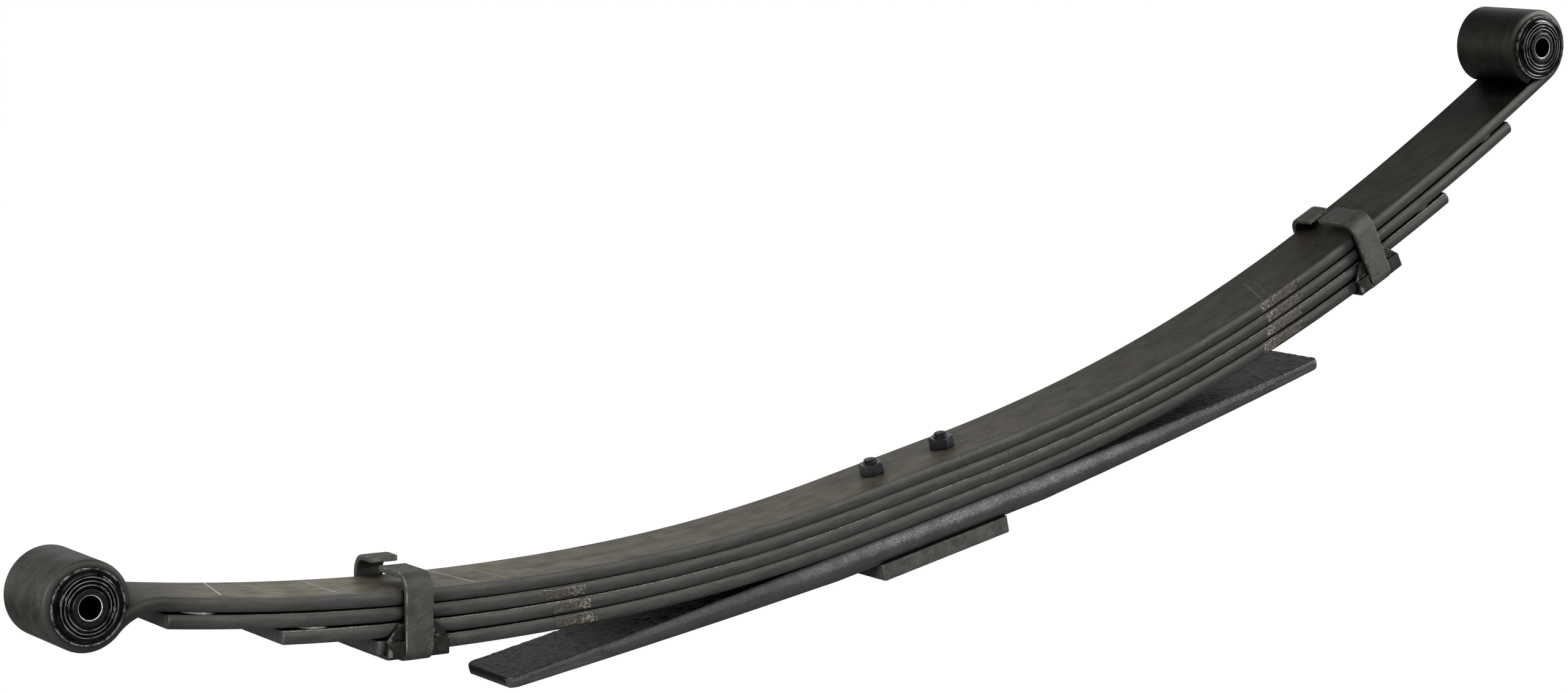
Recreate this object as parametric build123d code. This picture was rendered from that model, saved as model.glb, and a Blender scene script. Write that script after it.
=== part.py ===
"""Four-leaf rear suspension spring with an overload leaf, in millimetres.

The frame: +X runs from the front eye to the rear eye, +Y across the spring, +Z up.
The origin is on the axle side of the axle spacer, half way between its two centre bolts.
"""
from build123d import *
from math import acos, asin, atan2, cos, degrees, hypot, radians, sin, sqrt
import os

# ---- driving dimensions -------------------------------------------------------------------
LEAF_WIDTH = 76.2            # 3 inch spring steel
LEAF_THICKNESS = 11.4        # the four main-stage leaves
EDGE_ROUNDNESS = 0.75        # radius of the convex rolled long edges, per thickness
OVERLOAD_THICKNESS = 23.6
OVERLOAD_TIP_THICKNESS = 9.2
SPACER_LENGTH = 140.0
SPACER_THICKNESS = 15.0
SPACER_CORNER_RADIUS = 3.0
SPACER_CHAMFER = 1.0
SPOT_FACE_RADIUS = 10.5      # the bolt heads sit in spot faces under the spacer
SPOT_FACE_DEPTH = 1.0

# Camber of the main leaf's upper side: flat seat, then two arcs that follow each other.
CAMBER = {
    "front": {"way": -1, "flat": 75.0, "r1": 1540.0, "turn1": radians(8.0), "r2": 2080.0},
    "rear": {"way": 1, "flat": 56.0, "r1": 1676.0, "turn1": radians(15.0), "r2": 2860.0},
}
# Level distance from the origin to each leaf's tip.
TIP_REACH = {
    "second_leaf": {"front": 726.0, "rear": 732.0},
    "third_leaf": {"front": 635.0, "rear": 640.0},
    "fourth_leaf": {"front": 556.0, "rear": 563.0},
}
LEAF_ORDER = ["main_leaf", "second_leaf", "third_leaf", "fourth_leaf"]
TIP_GAP = 2.4                # space between two leaves at the lower one's tip
TIP_CORNER_RADIUS = 2.5

OVERLOAD_REACH = {"front": 447.0, "rear": 452.0}
OVERLOAD_RISE = {"front": 4.4, "rear": 7.9}
OVERLOAD_TAPER_START = 115.0
OVERLOAD_CORNER_RADIUS = 8.0
OVERLOAD_STATIONS = (0.0, 0.2, 0.4, 0.6, 0.8, 1.0)   # its top curves up along the taper

# Eyes: the bore takes a bush of about 50 mm.
EYE_BORE_RADIUS = 24.85
FRONT_EYE_X = -787.0
FRONT_EYE_Z = 223.0
FRONT_BEND_RADIUS = 48.0     # reverse bend that lowers the leaf under the front eye
REAR_EYE_X = 780.0
EYE_END_GAP = 1.6            # from the rolled end to the leaf it comes back to

# Bushes
SLEEVE_WALL = 2.2
SLEEVE_FLANGE_RADIUS = 30.5
SLEEVE_FLANGE_THICKNESS = 2.0
SLEEVE_LIP = 1.3
RUBBER_FACE_RADIUS = 28.9
RUBBER_RIM_WIDTH = 3.2
RUBBER_RIM_RISE = (0.6, 1.1, 2.4)   # face height over the flange at the edge, inside the rim, at the bore
RUBBER_RIDGES = [(23.6, 1.3), (20.6, 1.2), (17.6, 1.2)]   # ring radius, ring roundness
INNER_SLEEVE_RADIUS = 14.5
INNER_SLEEVE_BORE = 9.25
INNER_SLEEVE_LENGTH = 88.0
SLEEVE_CHAMFER = 0.8
FLANGE_CLEARANCE = 0.1
RIM_RISE = 1.0
PRESS_CLEARANCE = 0.05
RUNNING_CLEARANCE = 0.05

# Centre bolts, M12
BOLT_SPACING = 78.0
BOLT_RADIUS = 6.0
BOLT_HOLE_RADIUS = 6.4
BOLT_HEAD_RADIUS = 9.5
BOLT_HEAD_HEIGHT = 9.0       # below the spacer
BOLT_HEAD_CHAMFER = 1.5
BOLT_TIP_CHAMFER = 1.0
BOLT_STUB = 3.6              # thread showing above the nut
NUT_FLATS = 19.0
NUT_HEIGHT = 10.0
NUT_BORE_RADIUS = 6.08
NUT_TURN = {-1: 9.0, 1: 21.0}   # how far each nut happens to be turned
NUT_CHAMFER_LOSS = 0.9       # radius that the top chamfer takes off the corners
NUT_CHAMFER_SPREAD = 11.4    # the chamfer cone widens by this much ...
NUT_CHAMFER_DROP = 14.0      # ... over this height

# Rebound clips
CLIP_STATION = {"front": 525.0, "rear": 537.0}   # level distance under the fourth leaf
CLIP_WIDTH = 25.0
CLIP_THICKNESS = 5.0
CLIP_LEG_Y = 42.5            # middle of the leg
CLIP_TOP_BEND = 12.0
CLIP_BOTTOM_BEND = 8.0
CLIP_TAB_HEIGHT = {"front": (14.5, 19.0), "rear": (14.5, 12.5)}   # near and far tab
CLIP_TAB_END_Y = (2.0, 16.0)
LINER_WEB = 1.35
LINER_GAP = 0.37             # between the fourth leaf and the liner
LINER_CORNER_RADIUS = 5.4
LINER_SIDE_INNER = 38.55
LINER_SIDE_OUTER = LINER_SIDE_INNER + LINER_WEB
STRAP_GAP = 0.1
STRAP_SIDE_GAP = 0.2         # between the strap's edges and the liner's blocks
LINER_BLOCK_OUTER = 43.5
LINER_GUSSET_OUTER = 41.0
LINER_REACH = 27.5
LINER_GUSSET_RISE = 13.5
LINER_GUSSET_FLAT = 4.5      # level part of the gusset's top, beside the strap
LINER_FOOT_RADIUS = 2.5
LINER_LIP = 3.4
RIVET_RADIUS = 4.75
RIVET_HOLE_RADIUS = 5.0
RIVET_HEAD_RADIUS = 7.0      # flat head in the gap over the fourth leaf
RIVET_HEAD_THICKNESS = 1.2
RIVET_HEAD_LIFT = 0.15
RIVET_DOME_RADIUS = 9.2      # under the strap
RIVET_DOME_HEIGHT = 4.3

# Tip inserts
INSERT_WIDTH = 30.0          # along the leaf
INSERT_LENGTH = 70.0         # across the leaf
INSERT_END_RADIUS = 14.0
INSERT_FROM_TIP = 32.0
INSERT_LIFT = 0.1
INSERT_STEM_RADIUS = 5.5
INSERT_STEM_HOLE_RADIUS = 5.8
INSERT_STEM_LENGTH = 9.0
INSERT_PLAY = 0.35           # of the gap that the pad leaves open

OVERLOAD_TOP = SPACER_THICKNESS + OVERLOAD_THICKNESS
MAIN_TOP = OVERLOAD_TOP + len(LEAF_ORDER) * LEAF_THICKNESS
SIDE_Y = LEAF_WIDTH / 2
TALL = 3000.0                # longer than anything it cuts
OVERCUT = 2.0                # how far a short cutter runs past what it cuts
THROUGH = 3 * LEAF_THICKNESS # long enough to go through a leaf from a frame on its face
STEEPEST = radians(40)       # no leaf slopes as much as this
HALVINGS = 60                # steps of each bisection


# ---- camber geometry ----------------------------------------------------------------------
def camber_point(end, depth, slope, extra=0.0):
    """Point with this slope on the line `depth` under the main leaf's upper side.

    `extra` widens both arcs, so the line leaves its neighbour above by extra * (1 - cos slope).
    """
    c = CAMBER[end]
    r1 = c["r1"] + depth + extra
    r2 = c["r2"] + depth + extra
    first = min(slope, c["turn1"])
    x = c["flat"] + r1 * sin(first)
    z = MAIN_TOP - depth + r1 * (1 - cos(first))
    if slope > c["turn1"]:
        x += r2 * (sin(slope) - sin(c["turn1"]))
        z += r2 * (cos(c["turn1"]) - cos(slope))
    return c["way"] * x, z


def slope_at(end, depth, reach, extra=0.0):
    """Slope of the same line at a level distance from the origin."""
    c = CAMBER[end]
    r1 = c["r1"] + depth + extra
    r2 = c["r2"] + depth + extra
    x1 = c["flat"] + r1 * sin(c["turn1"])
    if reach <= x1:
        return asin((reach - c["flat"]) / r1)
    return asin((reach - x1) / r2 + sin(c["turn1"]))


def upward_normal(end, slope):
    return -CAMBER[end]["way"] * sin(slope), cos(slope)


def leaf_extra(name, end):
    """Widening that leaves TIP_GAP above this leaf's tip, added to that of the leaf above."""
    index = LEAF_ORDER.index(name)
    if index == 0:
        return 0.0
    above = leaf_extra(LEAF_ORDER[index - 1], end)
    depth = index * LEAF_THICKNESS
    slope = slope_at(end, depth, TIP_REACH[name][end], above)
    return above + TIP_GAP / (1 - cos(slope))


def arc_between(end, depth, slope_a, slope_b, extra=0.0):
    """Arc of the camber line from one slope to another, both on the same arc."""
    points = [camber_point(end, depth, s, extra) for s in (slope_a, (slope_a + slope_b) / 2, slope_b)]
    return ThreePointArc(*[(x, 0, z) for x, z in points])


def camber_edges(end, depth, last_slope, extra=0.0):
    """Edges of the camber line from the flat seat outwards to a last slope."""
    turn1 = CAMBER[end]["turn1"]
    if last_slope <= turn1:
        return [arc_between(end, depth, 0, last_slope, extra)]
    return [
        arc_between(end, depth, 0, turn1, extra),
        arc_between(end, depth, turn1, last_slope, extra),
    ]


def frame_on_line(end, depth, reach, extra=0.0):
    """Plane that stands on the line: x along the leaf towards the rear, z out of its top."""
    slope = slope_at(end, depth, reach, extra)
    x, z = camber_point(end, depth, slope, extra)
    way = CAMBER[end]["way"]
    return Plane(origin=(x, 0, z), x_dir=(cos(slope), 0, way * sin(slope)),
                 z_dir=(-way * sin(slope), 0, cos(slope)))


def gap_above(name, end, reach):
    """Space between this leaf and the one above it at a level distance."""
    index = LEAF_ORDER.index(name)
    widening = leaf_extra(name, end) - leaf_extra(LEAF_ORDER[index - 1], end)
    slope = slope_at(end, index * LEAF_THICKNESS, reach, leaf_extra(name, end))
    return widening * (1 - cos(slope))


# ---- leaves -------------------------------------------------------------------------------
def leaf_section(plane, thickness=LEAF_THICKNESS):
    """Flat bar with convex long edges, its width across the spring."""
    half = thickness / 2
    edge_radius = EDGE_ROUNDNESS * thickness
    inset = edge_radius - sqrt(edge_radius**2 - half**2)
    flat = SIDE_Y - inset
    outline = [
        Line((-flat, half), (flat, half)),
        ThreePointArc((flat, half), (SIDE_Y, 0), (flat, -half)),
        Line((flat, -half), (-flat, -half)),
        ThreePointArc((-flat, -half), (-SIDE_Y, 0), (-flat, half)),
    ]
    return plane * make_face(Curve() + outline)


def sweep_leaf(edges):
    """Sweep the bar section along edges that follow each other in the XZ plane."""
    path = Wire(edges)
    start = path @ 0
    along = path % 0
    section = leaf_section(Plane(origin=start, x_dir=(0, 1, 0), z_dir=along))
    return sweep(section, path=path)


def round_tip(leaf, end, depth, reach, extra):
    """Round the two upright corners of a leaf's square-cut tip."""
    tip = frame_on_line(end, depth, reach, extra).origin
    cut_end = leaf.faces().sort_by_distance(tip)[0]
    corners = cut_end.edges().filter_by(GeomType.LINE, reverse=True)
    return fillet(corners, TIP_CORNER_RADIUS)


def bolt_holes(low, high):
    return [
        Pos(side * BOLT_SPACING / 2, 0, (low + high) / 2)
        * Cylinder(BOLT_HOLE_RADIUS, high - low + 2 * OVERCUT)
        for side in (-1, 1)
    ]


def flat_edge(depth):
    z = MAIN_TOP - depth
    return Line((-CAMBER["front"]["flat"], 0, z), (CAMBER["rear"]["flat"], 0, z))


def short_leaf(name):
    """Second, third or fourth leaf, with the holes that it needs."""
    index = LEAF_ORDER.index(name)
    middle = (index + 0.5) * LEAF_THICKNESS
    slopes = {}
    for end in CAMBER:
        slopes[end] = slope_at(end, middle, TIP_REACH[name][end], leaf_extra(name, end))
    front = camber_edges("front", middle, slopes["front"], leaf_extra(name, "front"))
    rear = camber_edges("rear", middle, slopes["rear"], leaf_extra(name, "rear"))
    leaf = sweep_leaf(list(reversed(front)) + [flat_edge(middle)] + rear)
    for end in CAMBER:
        leaf = round_tip(leaf, end, middle, TIP_REACH[name][end], leaf_extra(name, end))
        if name in ("second_leaf", "third_leaf"):
            stem_place = insert_frame(name, end)
            leaf -= stem_place * Cylinder(INSERT_STEM_HOLE_RADIUS, THROUGH)
        else:
            leaf -= clip_frame(end) * Cylinder(RIVET_HOLE_RADIUS, THROUGH)
    bottom = MAIN_TOP - (index + 1) * LEAF_THICKNESS
    return leaf - bolt_holes(bottom, bottom + LEAF_THICKNESS)


def eye_arc(centre, radius, angle_a, angle_b):
    """Arc about an eye's centre between two angles in degrees."""
    points = []
    for a in (angle_a, (angle_a + angle_b) / 2, angle_b):
        points.append((centre[0] + radius * cos(radians(a)), 0, centre[1] + radius * sin(radians(a))))
    return ThreePointArc(*points)


def arc_centre(end, depth):
    """Centre of the camber's outer arc."""
    c = CAMBER[end]
    x, z = camber_point(end, depth, c["turn1"])
    nx, nz = upward_normal(end, c["turn1"])
    radius = c["r2"] + depth
    return x + nx * radius, z + nz * radius


def front_bend_centre():
    """Centre of the reverse bend: it touches the outer arc from below and the eye from outside."""
    middle = LEAF_THICKNESS / 2
    big = arc_centre("front", middle)
    eye = (FRONT_EYE_X, FRONT_EYE_Z)
    to_big = CAMBER["front"]["r2"] + middle + FRONT_BEND_RADIUS
    to_eye = EYE_BORE_RADIUS + middle + FRONT_BEND_RADIUS
    dx, dz = big[0] - eye[0], big[1] - eye[1]
    apart = hypot(dx, dz)
    turn = acos((to_eye**2 + apart**2 - to_big**2) / (2 * to_eye * apart))
    angle = atan2(dz, dx) - turn
    return eye[0] + to_eye * cos(angle), eye[1] + to_eye * sin(angle)


def rear_eye():
    """Centre of the rear eye and the leaf's slope where the eye starts."""
    middle = LEAF_THICKNESS / 2
    r_eye = EYE_BORE_RADIUS + middle
    c = CAMBER["rear"]
    low, high = c["turn1"], STEEPEST
    for _ in range(HALVINGS):
        slope = (low + high) / 2
        x, z = camber_point("rear", middle, slope)
        if x - r_eye * sin(slope) < REAR_EYE_X:
            low = slope
        else:
            high = slope
    return (x - r_eye * sin(slope), z + r_eye * cos(slope)), slope


def front_eye_edges():
    """From the rolled end round the front eye, through the reverse bend, to the outer arc."""
    middle = LEAF_THICKNESS / 2
    r_eye = EYE_BORE_RADIUS + middle
    eye = (FRONT_EYE_X, FRONT_EYE_Z)
    bend = front_bend_centre()
    big = arc_centre("front", middle)
    to_bend = degrees(atan2(bend[1] - eye[1], bend[0] - eye[0]))
    # The rolled end stops where its outer corner is EYE_END_GAP from the bend's upper side.
    outer = EYE_BORE_RADIUS + LEAF_THICKNESS
    reach = FRONT_BEND_RADIUS + middle + EYE_END_GAP
    apart = hypot(bend[0] - eye[0], bend[1] - eye[1])
    open_angle = degrees(acos((outer**2 + apart**2 - reach**2) / (2 * outer * apart)))
    wrap = eye_arc(eye, r_eye, to_bend + open_angle, to_bend + 360)
    leaf_angle = atan2(big[1] - bend[1], big[0] - bend[0])
    # Reverse bend, from the eye to the outer arc.
    back = atan2(eye[1] - bend[1], eye[0] - bend[0])
    touch = [back, (back + leaf_angle) / 2, leaf_angle]
    bend_arc = ThreePointArc(*[
        (bend[0] + FRONT_BEND_RADIUS * cos(a), 0, bend[1] + FRONT_BEND_RADIUS * sin(a)) for a in touch
    ])
    slope = leaf_angle - radians(90)
    return [wrap, bend_arc], abs(slope)


def rear_eye_edges():
    """From the outer arc round the rear eye to the rolled end."""
    eye, slope = rear_eye()
    r_eye = EYE_BORE_RADIUS + LEAF_THICKNESS / 2
    start = degrees(slope) - 90
    outer = EYE_BORE_RADIUS + LEAF_THICKNESS
    open_angle = degrees(acos((EYE_BORE_RADIUS - EYE_END_GAP) / outer))
    return [eye_arc(eye, r_eye, start, start + 360 - open_angle)], slope


def main_leaf():
    middle = LEAF_THICKNESS / 2
    front_eye, front_slope = front_eye_edges()
    rear_wrap, rear_slope = rear_eye_edges()
    front = list(reversed(camber_edges("front", middle, front_slope)))
    rear = camber_edges("rear", middle, rear_slope)
    leaf = sweep_leaf(front_eye + front + [flat_edge(middle)] + rear + rear_wrap)
    return leaf - bolt_holes(MAIN_TOP - LEAF_THICKNESS, MAIN_TOP)


def overload_section(end, share):
    """Upright section of the overload leaf, at a share of the way from its flat middle to its tip."""
    reach = OVERLOAD_TAPER_START + share * (OVERLOAD_REACH[end] - OVERLOAD_TAPER_START)
    thickness = OVERLOAD_THICKNESS + share * (OVERLOAD_TIP_THICKNESS - OVERLOAD_THICKNESS)
    middle = OVERLOAD_TOP + OVERLOAD_RISE[end] * share**2 - thickness / 2
    x = CAMBER[end]["way"] * reach
    return leaf_section(Plane(origin=(x, 0, middle), x_dir=(0, 1, 0), z_dir=(1, 0, 0)), thickness)


def overload_leaf():
    """Nearly flat thick leaf, tapered on its underside from near the seat to both tips."""
    sections = []
    for end, shares in (("front", reversed(OVERLOAD_STATIONS)), ("rear", OVERLOAD_STATIONS)):
        for share in shares:
            sections.append(overload_section(end, share))
    leaf = loft(sections, ruled=True)
    length = OVERLOAD_REACH["front"] + OVERLOAD_REACH["rear"]
    middle = (OVERLOAD_REACH["rear"] - OVERLOAD_REACH["front"]) / 2
    plate = Pos(middle, 0) * RectangleRounded(length, LEAF_WIDTH, OVERLOAD_CORNER_RADIUS)
    leaf = leaf & extrude(plate, TALL / 2, both=True)
    return leaf - bolt_holes(SPACER_THICKNESS, OVERLOAD_TOP)


def axle_spacer():
    block = Pos(0, 0, SPACER_THICKNESS / 2) * Box(SPACER_LENGTH, LEAF_WIDTH, SPACER_THICKNESS)
    block = fillet(block.edges().filter_by(Axis.Z), SPACER_CORNER_RADIUS)
    block = chamfer(block.faces().sort_by(Axis.Z)[0].edges(), SPACER_CHAMFER)
    block -= bolt_holes(0, SPACER_THICKNESS)
    for side in (-1, 1):
        block -= Pos(side * BOLT_SPACING / 2, 0, 0) * Cylinder(SPOT_FACE_RADIUS, 2 * SPOT_FACE_DEPTH)
    return block


# ---- centre bolts -------------------------------------------------------------------------
def center_bolts():
    """Two cap-head bolts: the round heads stand below the spacer and locate the axle."""
    top = MAIN_TOP + NUT_HEIGHT + BOLT_STUB
    bolts = []
    for side in (-1, 1):
        shank = Pos(0, 0, top / 2) * Cylinder(BOLT_RADIUS, top)
        shank = chamfer(shank.faces().sort_by(Axis.Z)[-1].edges(), BOLT_TIP_CHAMFER)
        head_middle = (SPOT_FACE_DEPTH - BOLT_HEAD_HEIGHT) / 2
        head = Pos(0, 0, head_middle) * Cylinder(BOLT_HEAD_RADIUS, SPOT_FACE_DEPTH + BOLT_HEAD_HEIGHT)
        head = chamfer(head.faces().sort_by(Axis.Z)[0].edges(), BOLT_HEAD_CHAMFER)
        bolts.append(Pos(side * BOLT_SPACING / 2, 0, 0) * (shank + head))
    return Compound(children=bolts)


def center_nuts():
    """Two hexagon nuts on the main leaf, chamfered on top."""
    nuts = []
    corner = NUT_FLATS / sqrt(3)
    for side, turn in NUT_TURN.items():
        nut = extrude(RegularPolygon(corner, 6, rotation=turn), NUT_HEIGHT)
        top_radius = corner - NUT_CHAMFER_LOSS
        cone = Cone(top_radius + NUT_CHAMFER_SPREAD, top_radius, NUT_CHAMFER_DROP)
        nut &= Pos(0, 0, NUT_HEIGHT - NUT_CHAMFER_DROP / 2) * cone
        nut -= Pos(0, 0, NUT_HEIGHT / 2) * Cylinder(NUT_BORE_RADIUS, 2 * NUT_HEIGHT)
        nuts.append(Pos(side * BOLT_SPACING / 2, 0, MAIN_TOP) * nut)
    return Compound(children=nuts)


# ---- bushes -------------------------------------------------------------------------------
def eye_place(end):
    if end == "front":
        return Pos(FRONT_EYE_X, 0, FRONT_EYE_Z)
    (x, z), _ = rear_eye()
    return Pos(x, 0, z)


def revolve_about_y(points):
    """Ring about the Y axis from (radius, y) points of half its section; mirrored in y."""
    mirrored = [(r, -y) for r, y in reversed(points) if y > 0]
    outline = [(r, y, 0) for r, y in points + mirrored]
    face = make_face(Polyline(*outline, close=True))
    return revolve(face, Axis.Y)


def bush_outer_sleeve(end):
    """Steel sleeve pressed into the eye, turned out over the eye's sides, with a raised rim."""
    outer = EYE_BORE_RADIUS - PRESS_CLEARANCE
    inner = outer - SLEEVE_WALL
    flange_in = SIDE_Y + FLANGE_CLEARANCE
    flange_out = flange_in + SLEEVE_FLANGE_THICKNESS
    rim = SLEEVE_FLANGE_RADIUS - SLEEVE_LIP
    section = [
        (outer, flange_in), (SLEEVE_FLANGE_RADIUS, flange_in),
        (SLEEVE_FLANGE_RADIUS, flange_out + RIM_RISE), (rim, flange_out + RIM_RISE),
        (rim, flange_out), (inner, flange_out),
    ]
    return eye_place(end) * revolve_about_y([(outer, 0)] + section + [(inner, 0)])


def bush_rubber(end):
    """Rubber filling between the two sleeves, with moulded rings on both faces."""
    outer = EYE_BORE_RADIUS - PRESS_CLEARANCE - SLEEVE_WALL
    bore = INNER_SLEEVE_RADIUS + RUNNING_CLEARANCE
    face = SIDE_Y + FLANGE_CLEARANCE + SLEEVE_FLANGE_THICKNESS
    cone_radius = RUBBER_FACE_RADIUS - RUBBER_RIM_WIDTH
    at_edge, at_rim, at_bore = [face + rise for rise in RUBBER_RIM_RISE]
    section = [
        (outer, 0), (outer, face), (RUBBER_FACE_RADIUS, face), (RUBBER_FACE_RADIUS, at_edge),
        (cone_radius, at_rim), (bore, at_bore), (bore, 0),
    ]
    rubber = revolve_about_y(section)
    for radius, roundness in RUBBER_RIDGES:
        height = at_rim + (at_bore - at_rim) * (cone_radius - radius) / (cone_radius - bore)
        for side in (-1, 1):
            ring = Torus(radius, roundness)
            rubber += Pos(0, side * height, 0) * (Rot(90, 0, 0) * ring)
    return eye_place(end) * rubber


def bush_inner_sleeve(end):
    half = INNER_SLEEVE_LENGTH / 2
    edge = half - SLEEVE_CHAMFER
    section = [
        (INNER_SLEEVE_BORE, 0), (INNER_SLEEVE_BORE, edge), (INNER_SLEEVE_BORE + SLEEVE_CHAMFER, half),
        (INNER_SLEEVE_RADIUS - SLEEVE_CHAMFER, half), (INNER_SLEEVE_RADIUS, edge), (INNER_SLEEVE_RADIUS, 0),
    ]
    return eye_place(end) * revolve_about_y(section)


# ---- rebound clips ------------------------------------------------------------------------
def clip_frame(end):
    """Frame on the fourth leaf's underside at the clip, z up through the stack."""
    depth = len(LEAF_ORDER) * LEAF_THICKNESS
    return frame_on_line(end, depth, CLIP_STATION[end], leaf_extra("fourth_leaf", end))


def stack_height(end):
    """From the clip's frame up to the main leaf's upper side."""
    frame = clip_frame(end)
    low, high = 0.0, STEEPEST
    for _ in range(HALVINGS):
        slope = (low + high) / 2
        x, z = camber_point(end, 0.0, slope)
        local = frame.to_local_coords(Vector(x, 0, z))
        if CAMBER[end]["way"] * local.X < 0:
            low = slope
        else:
            high = slope
    return local.Z


def quarter(centre_y, centre_z, radius, angle_a, angle_b):
    points = []
    for a in (angle_a, (angle_a + angle_b) / 2, angle_b):
        points.append((0, centre_y + radius * cos(radians(a)), centre_z + radius * sin(radians(a))))
    return ThreePointArc(*points)


def rebound_clip(end):
    """Strap under the fourth leaf, up both sides and bent in over the main leaf."""
    half = CLIP_THICKNESS / 2
    near_top, far_top = [stack_height(end) + h - half for h in CLIP_TAB_HEIGHT[end]]
    floor = -LINER_GAP - LINER_WEB - STRAP_GAP - half
    leg, top, low = CLIP_LEG_Y, CLIP_TOP_BEND, CLIP_BOTTOM_BEND
    near_end, far_end = CLIP_TAB_END_Y
    edges = [
        Line((0, near_end, near_top), (0, -leg + top, near_top)),
        quarter(-leg + top, near_top - top, top, 90, 180),
        Line((0, -leg, near_top - top), (0, -leg, floor + low)),
        quarter(-leg + low, floor + low, low, 180, 270),
        Line((0, -leg + low, floor), (0, leg - low, floor)),
        quarter(leg - low, floor + low, low, 270, 360),
        Line((0, leg, floor + low), (0, leg, far_top - top)),
        quarter(leg - top, far_top - top, top, 0, 90),
        Line((0, leg - top, far_top), (0, far_end, far_top)),
    ]
    path = Wire(edges)
    start = Plane(origin=path @ 0, x_dir=(1, 0, 0), z_dir=path % 0)
    strap = sweep(start * Rectangle(CLIP_WIDTH, CLIP_THICKNESS), path=path)
    strap -= Pos(0, 0, floor) * Cylinder(RIVET_HOLE_RADIUS, THROUGH)
    return clip_frame(end) * strap


def liner_channel():
    """The part of the liner inside the strap: a web with rounded corners and two upright sides."""
    floor = -LINER_GAP
    height = LEAF_THICKNESS + LINER_GUSSET_RISE
    outside = Box(CLIP_WIDTH + 2 * STRAP_SIDE_GAP, 2 * LINER_SIDE_OUTER, height + LINER_WEB)
    outside = fillet(outside.edges().filter_by(Axis.X).group_by(Axis.Z)[0], LINER_CORNER_RADIUS)
    inside = Box(2 * CLIP_WIDTH, 2 * LINER_SIDE_INNER, height)
    inside = fillet(inside.edges().filter_by(Axis.X).group_by(Axis.Z)[0], LINER_CORNER_RADIUS - LINER_WEB)
    return Pos(0, 0, floor + (height - LINER_WEB) / 2) * outside - Pos(0, 0, floor + height / 2) * inside


def liner_block(way):
    """Sill under the leaf, cheeks beside it and gussets above, on one side of the strap."""
    floor = -LINER_GAP
    block_top = floor + LEAF_THICKNESS
    inner_x = CLIP_WIDTH / 2 + STRAP_SIDE_GAP
    length = LINER_REACH - inner_x
    middle = way * (inner_x + length / 2)
    block = Pos(middle, 0, floor - LINER_LIP / 2) * Box(length, 2 * LINER_BLOCK_OUTER, LINER_LIP)
    thickness = LINER_BLOCK_OUTER - LINER_SIDE_INNER
    cheek = Box(length, thickness, LEAF_THICKNESS + LINER_LIP)
    gusset_top = block_top + LINER_GUSSET_RISE
    gusset = make_face(Polyline(
        (way * inner_x, 0, block_top), (way * LINER_REACH, 0, block_top),
        (way * (inner_x + LINER_GUSSET_FLAT), 0, gusset_top), (way * inner_x, 0, gusset_top), close=True))
    depth = LINER_GUSSET_OUTER - LINER_SIDE_INNER
    gusset = extrude(gusset, depth / 2, dir=(0, 1, 0), both=True)
    cheek_middle = block_top - (LEAF_THICKNESS + LINER_LIP) / 2
    for side in (-1, 1):
        block += Pos(middle, side * (LINER_SIDE_INNER + thickness / 2), cheek_middle) * cheek
    block = fillet(block.edges().filter_by(Axis.X).group_by(Axis.Z)[0], LINER_FOOT_RADIUS)
    for side in (-1, 1):
        block += Pos(0, side * (LINER_SIDE_INNER + depth / 2), 0) * gusset
    return block


def clip_liner(end):
    """Moulded pad between the strap and the leaves, with a shouldered block each side of it."""
    liner = liner_channel() + liner_block(-1) + liner_block(1)
    liner -= Cylinder(RIVET_HOLE_RADIUS, THROUGH)
    return clip_frame(end) * liner


def clip_rivet(end):
    """Rivet through the strap, the liner and the fourth leaf."""
    strap_under = -LINER_GAP - LINER_WEB - STRAP_GAP - CLIP_THICKNESS
    head_under = LEAF_THICKNESS + RIVET_HEAD_LIFT
    low = strap_under - RIVET_DOME_HEIGHT / 4
    high = head_under + RIVET_HEAD_THICKNESS
    rivet = Pos(0, 0, (low + high) / 2) * Cylinder(RIVET_RADIUS, high - low)
    rivet += Pos(0, 0, (head_under + high) / 2) * Cylinder(RIVET_HEAD_RADIUS, RIVET_HEAD_THICKNESS)
    ball_radius = (RIVET_DOME_RADIUS**2 + RIVET_DOME_HEIGHT**2) / (2 * RIVET_DOME_HEIGHT)
    ball = Pos(0, 0, ball_radius - RIVET_DOME_HEIGHT) * Sphere(ball_radius)
    half = RIVET_DOME_HEIGHT / 2
    dome = ball & Pos(0, 0, -half) * Cylinder(RIVET_DOME_RADIUS + OVERCUT, RIVET_DOME_HEIGHT)
    rivet += Pos(0, 0, strap_under) * dome
    return clip_frame(end) * rivet


# ---- tip inserts --------------------------------------------------------------------------
def insert_frame(name, end):
    """Frame on a leaf's upper side where its tip insert sits."""
    index = LEAF_ORDER.index(name)
    reach = TIP_REACH[name][end] - INSERT_FROM_TIP
    return frame_on_line(end, index * LEAF_THICKNESS, reach, leaf_extra(name, end))


def tip_insert(name, end):
    """Low-friction pad between a leaf's tip and the leaf above, with a stem in the leaf."""
    thickness = gap_above(name, end, TIP_REACH[name][end] - INSERT_FROM_TIP) - INSERT_PLAY
    outline = RectangleRounded(INSERT_WIDTH, INSERT_LENGTH, INSERT_END_RADIUS)
    pad = Pos(0, 0, INSERT_LIFT) * extrude(outline, thickness)
    stem_top = INSERT_LIFT + thickness / 2
    stem = Pos(0, 0, stem_top - INSERT_STEM_LENGTH / 2) * Cylinder(INSERT_STEM_RADIUS, INSERT_STEM_LENGTH)
    return insert_frame(name, end) * (pad + stem)


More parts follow.
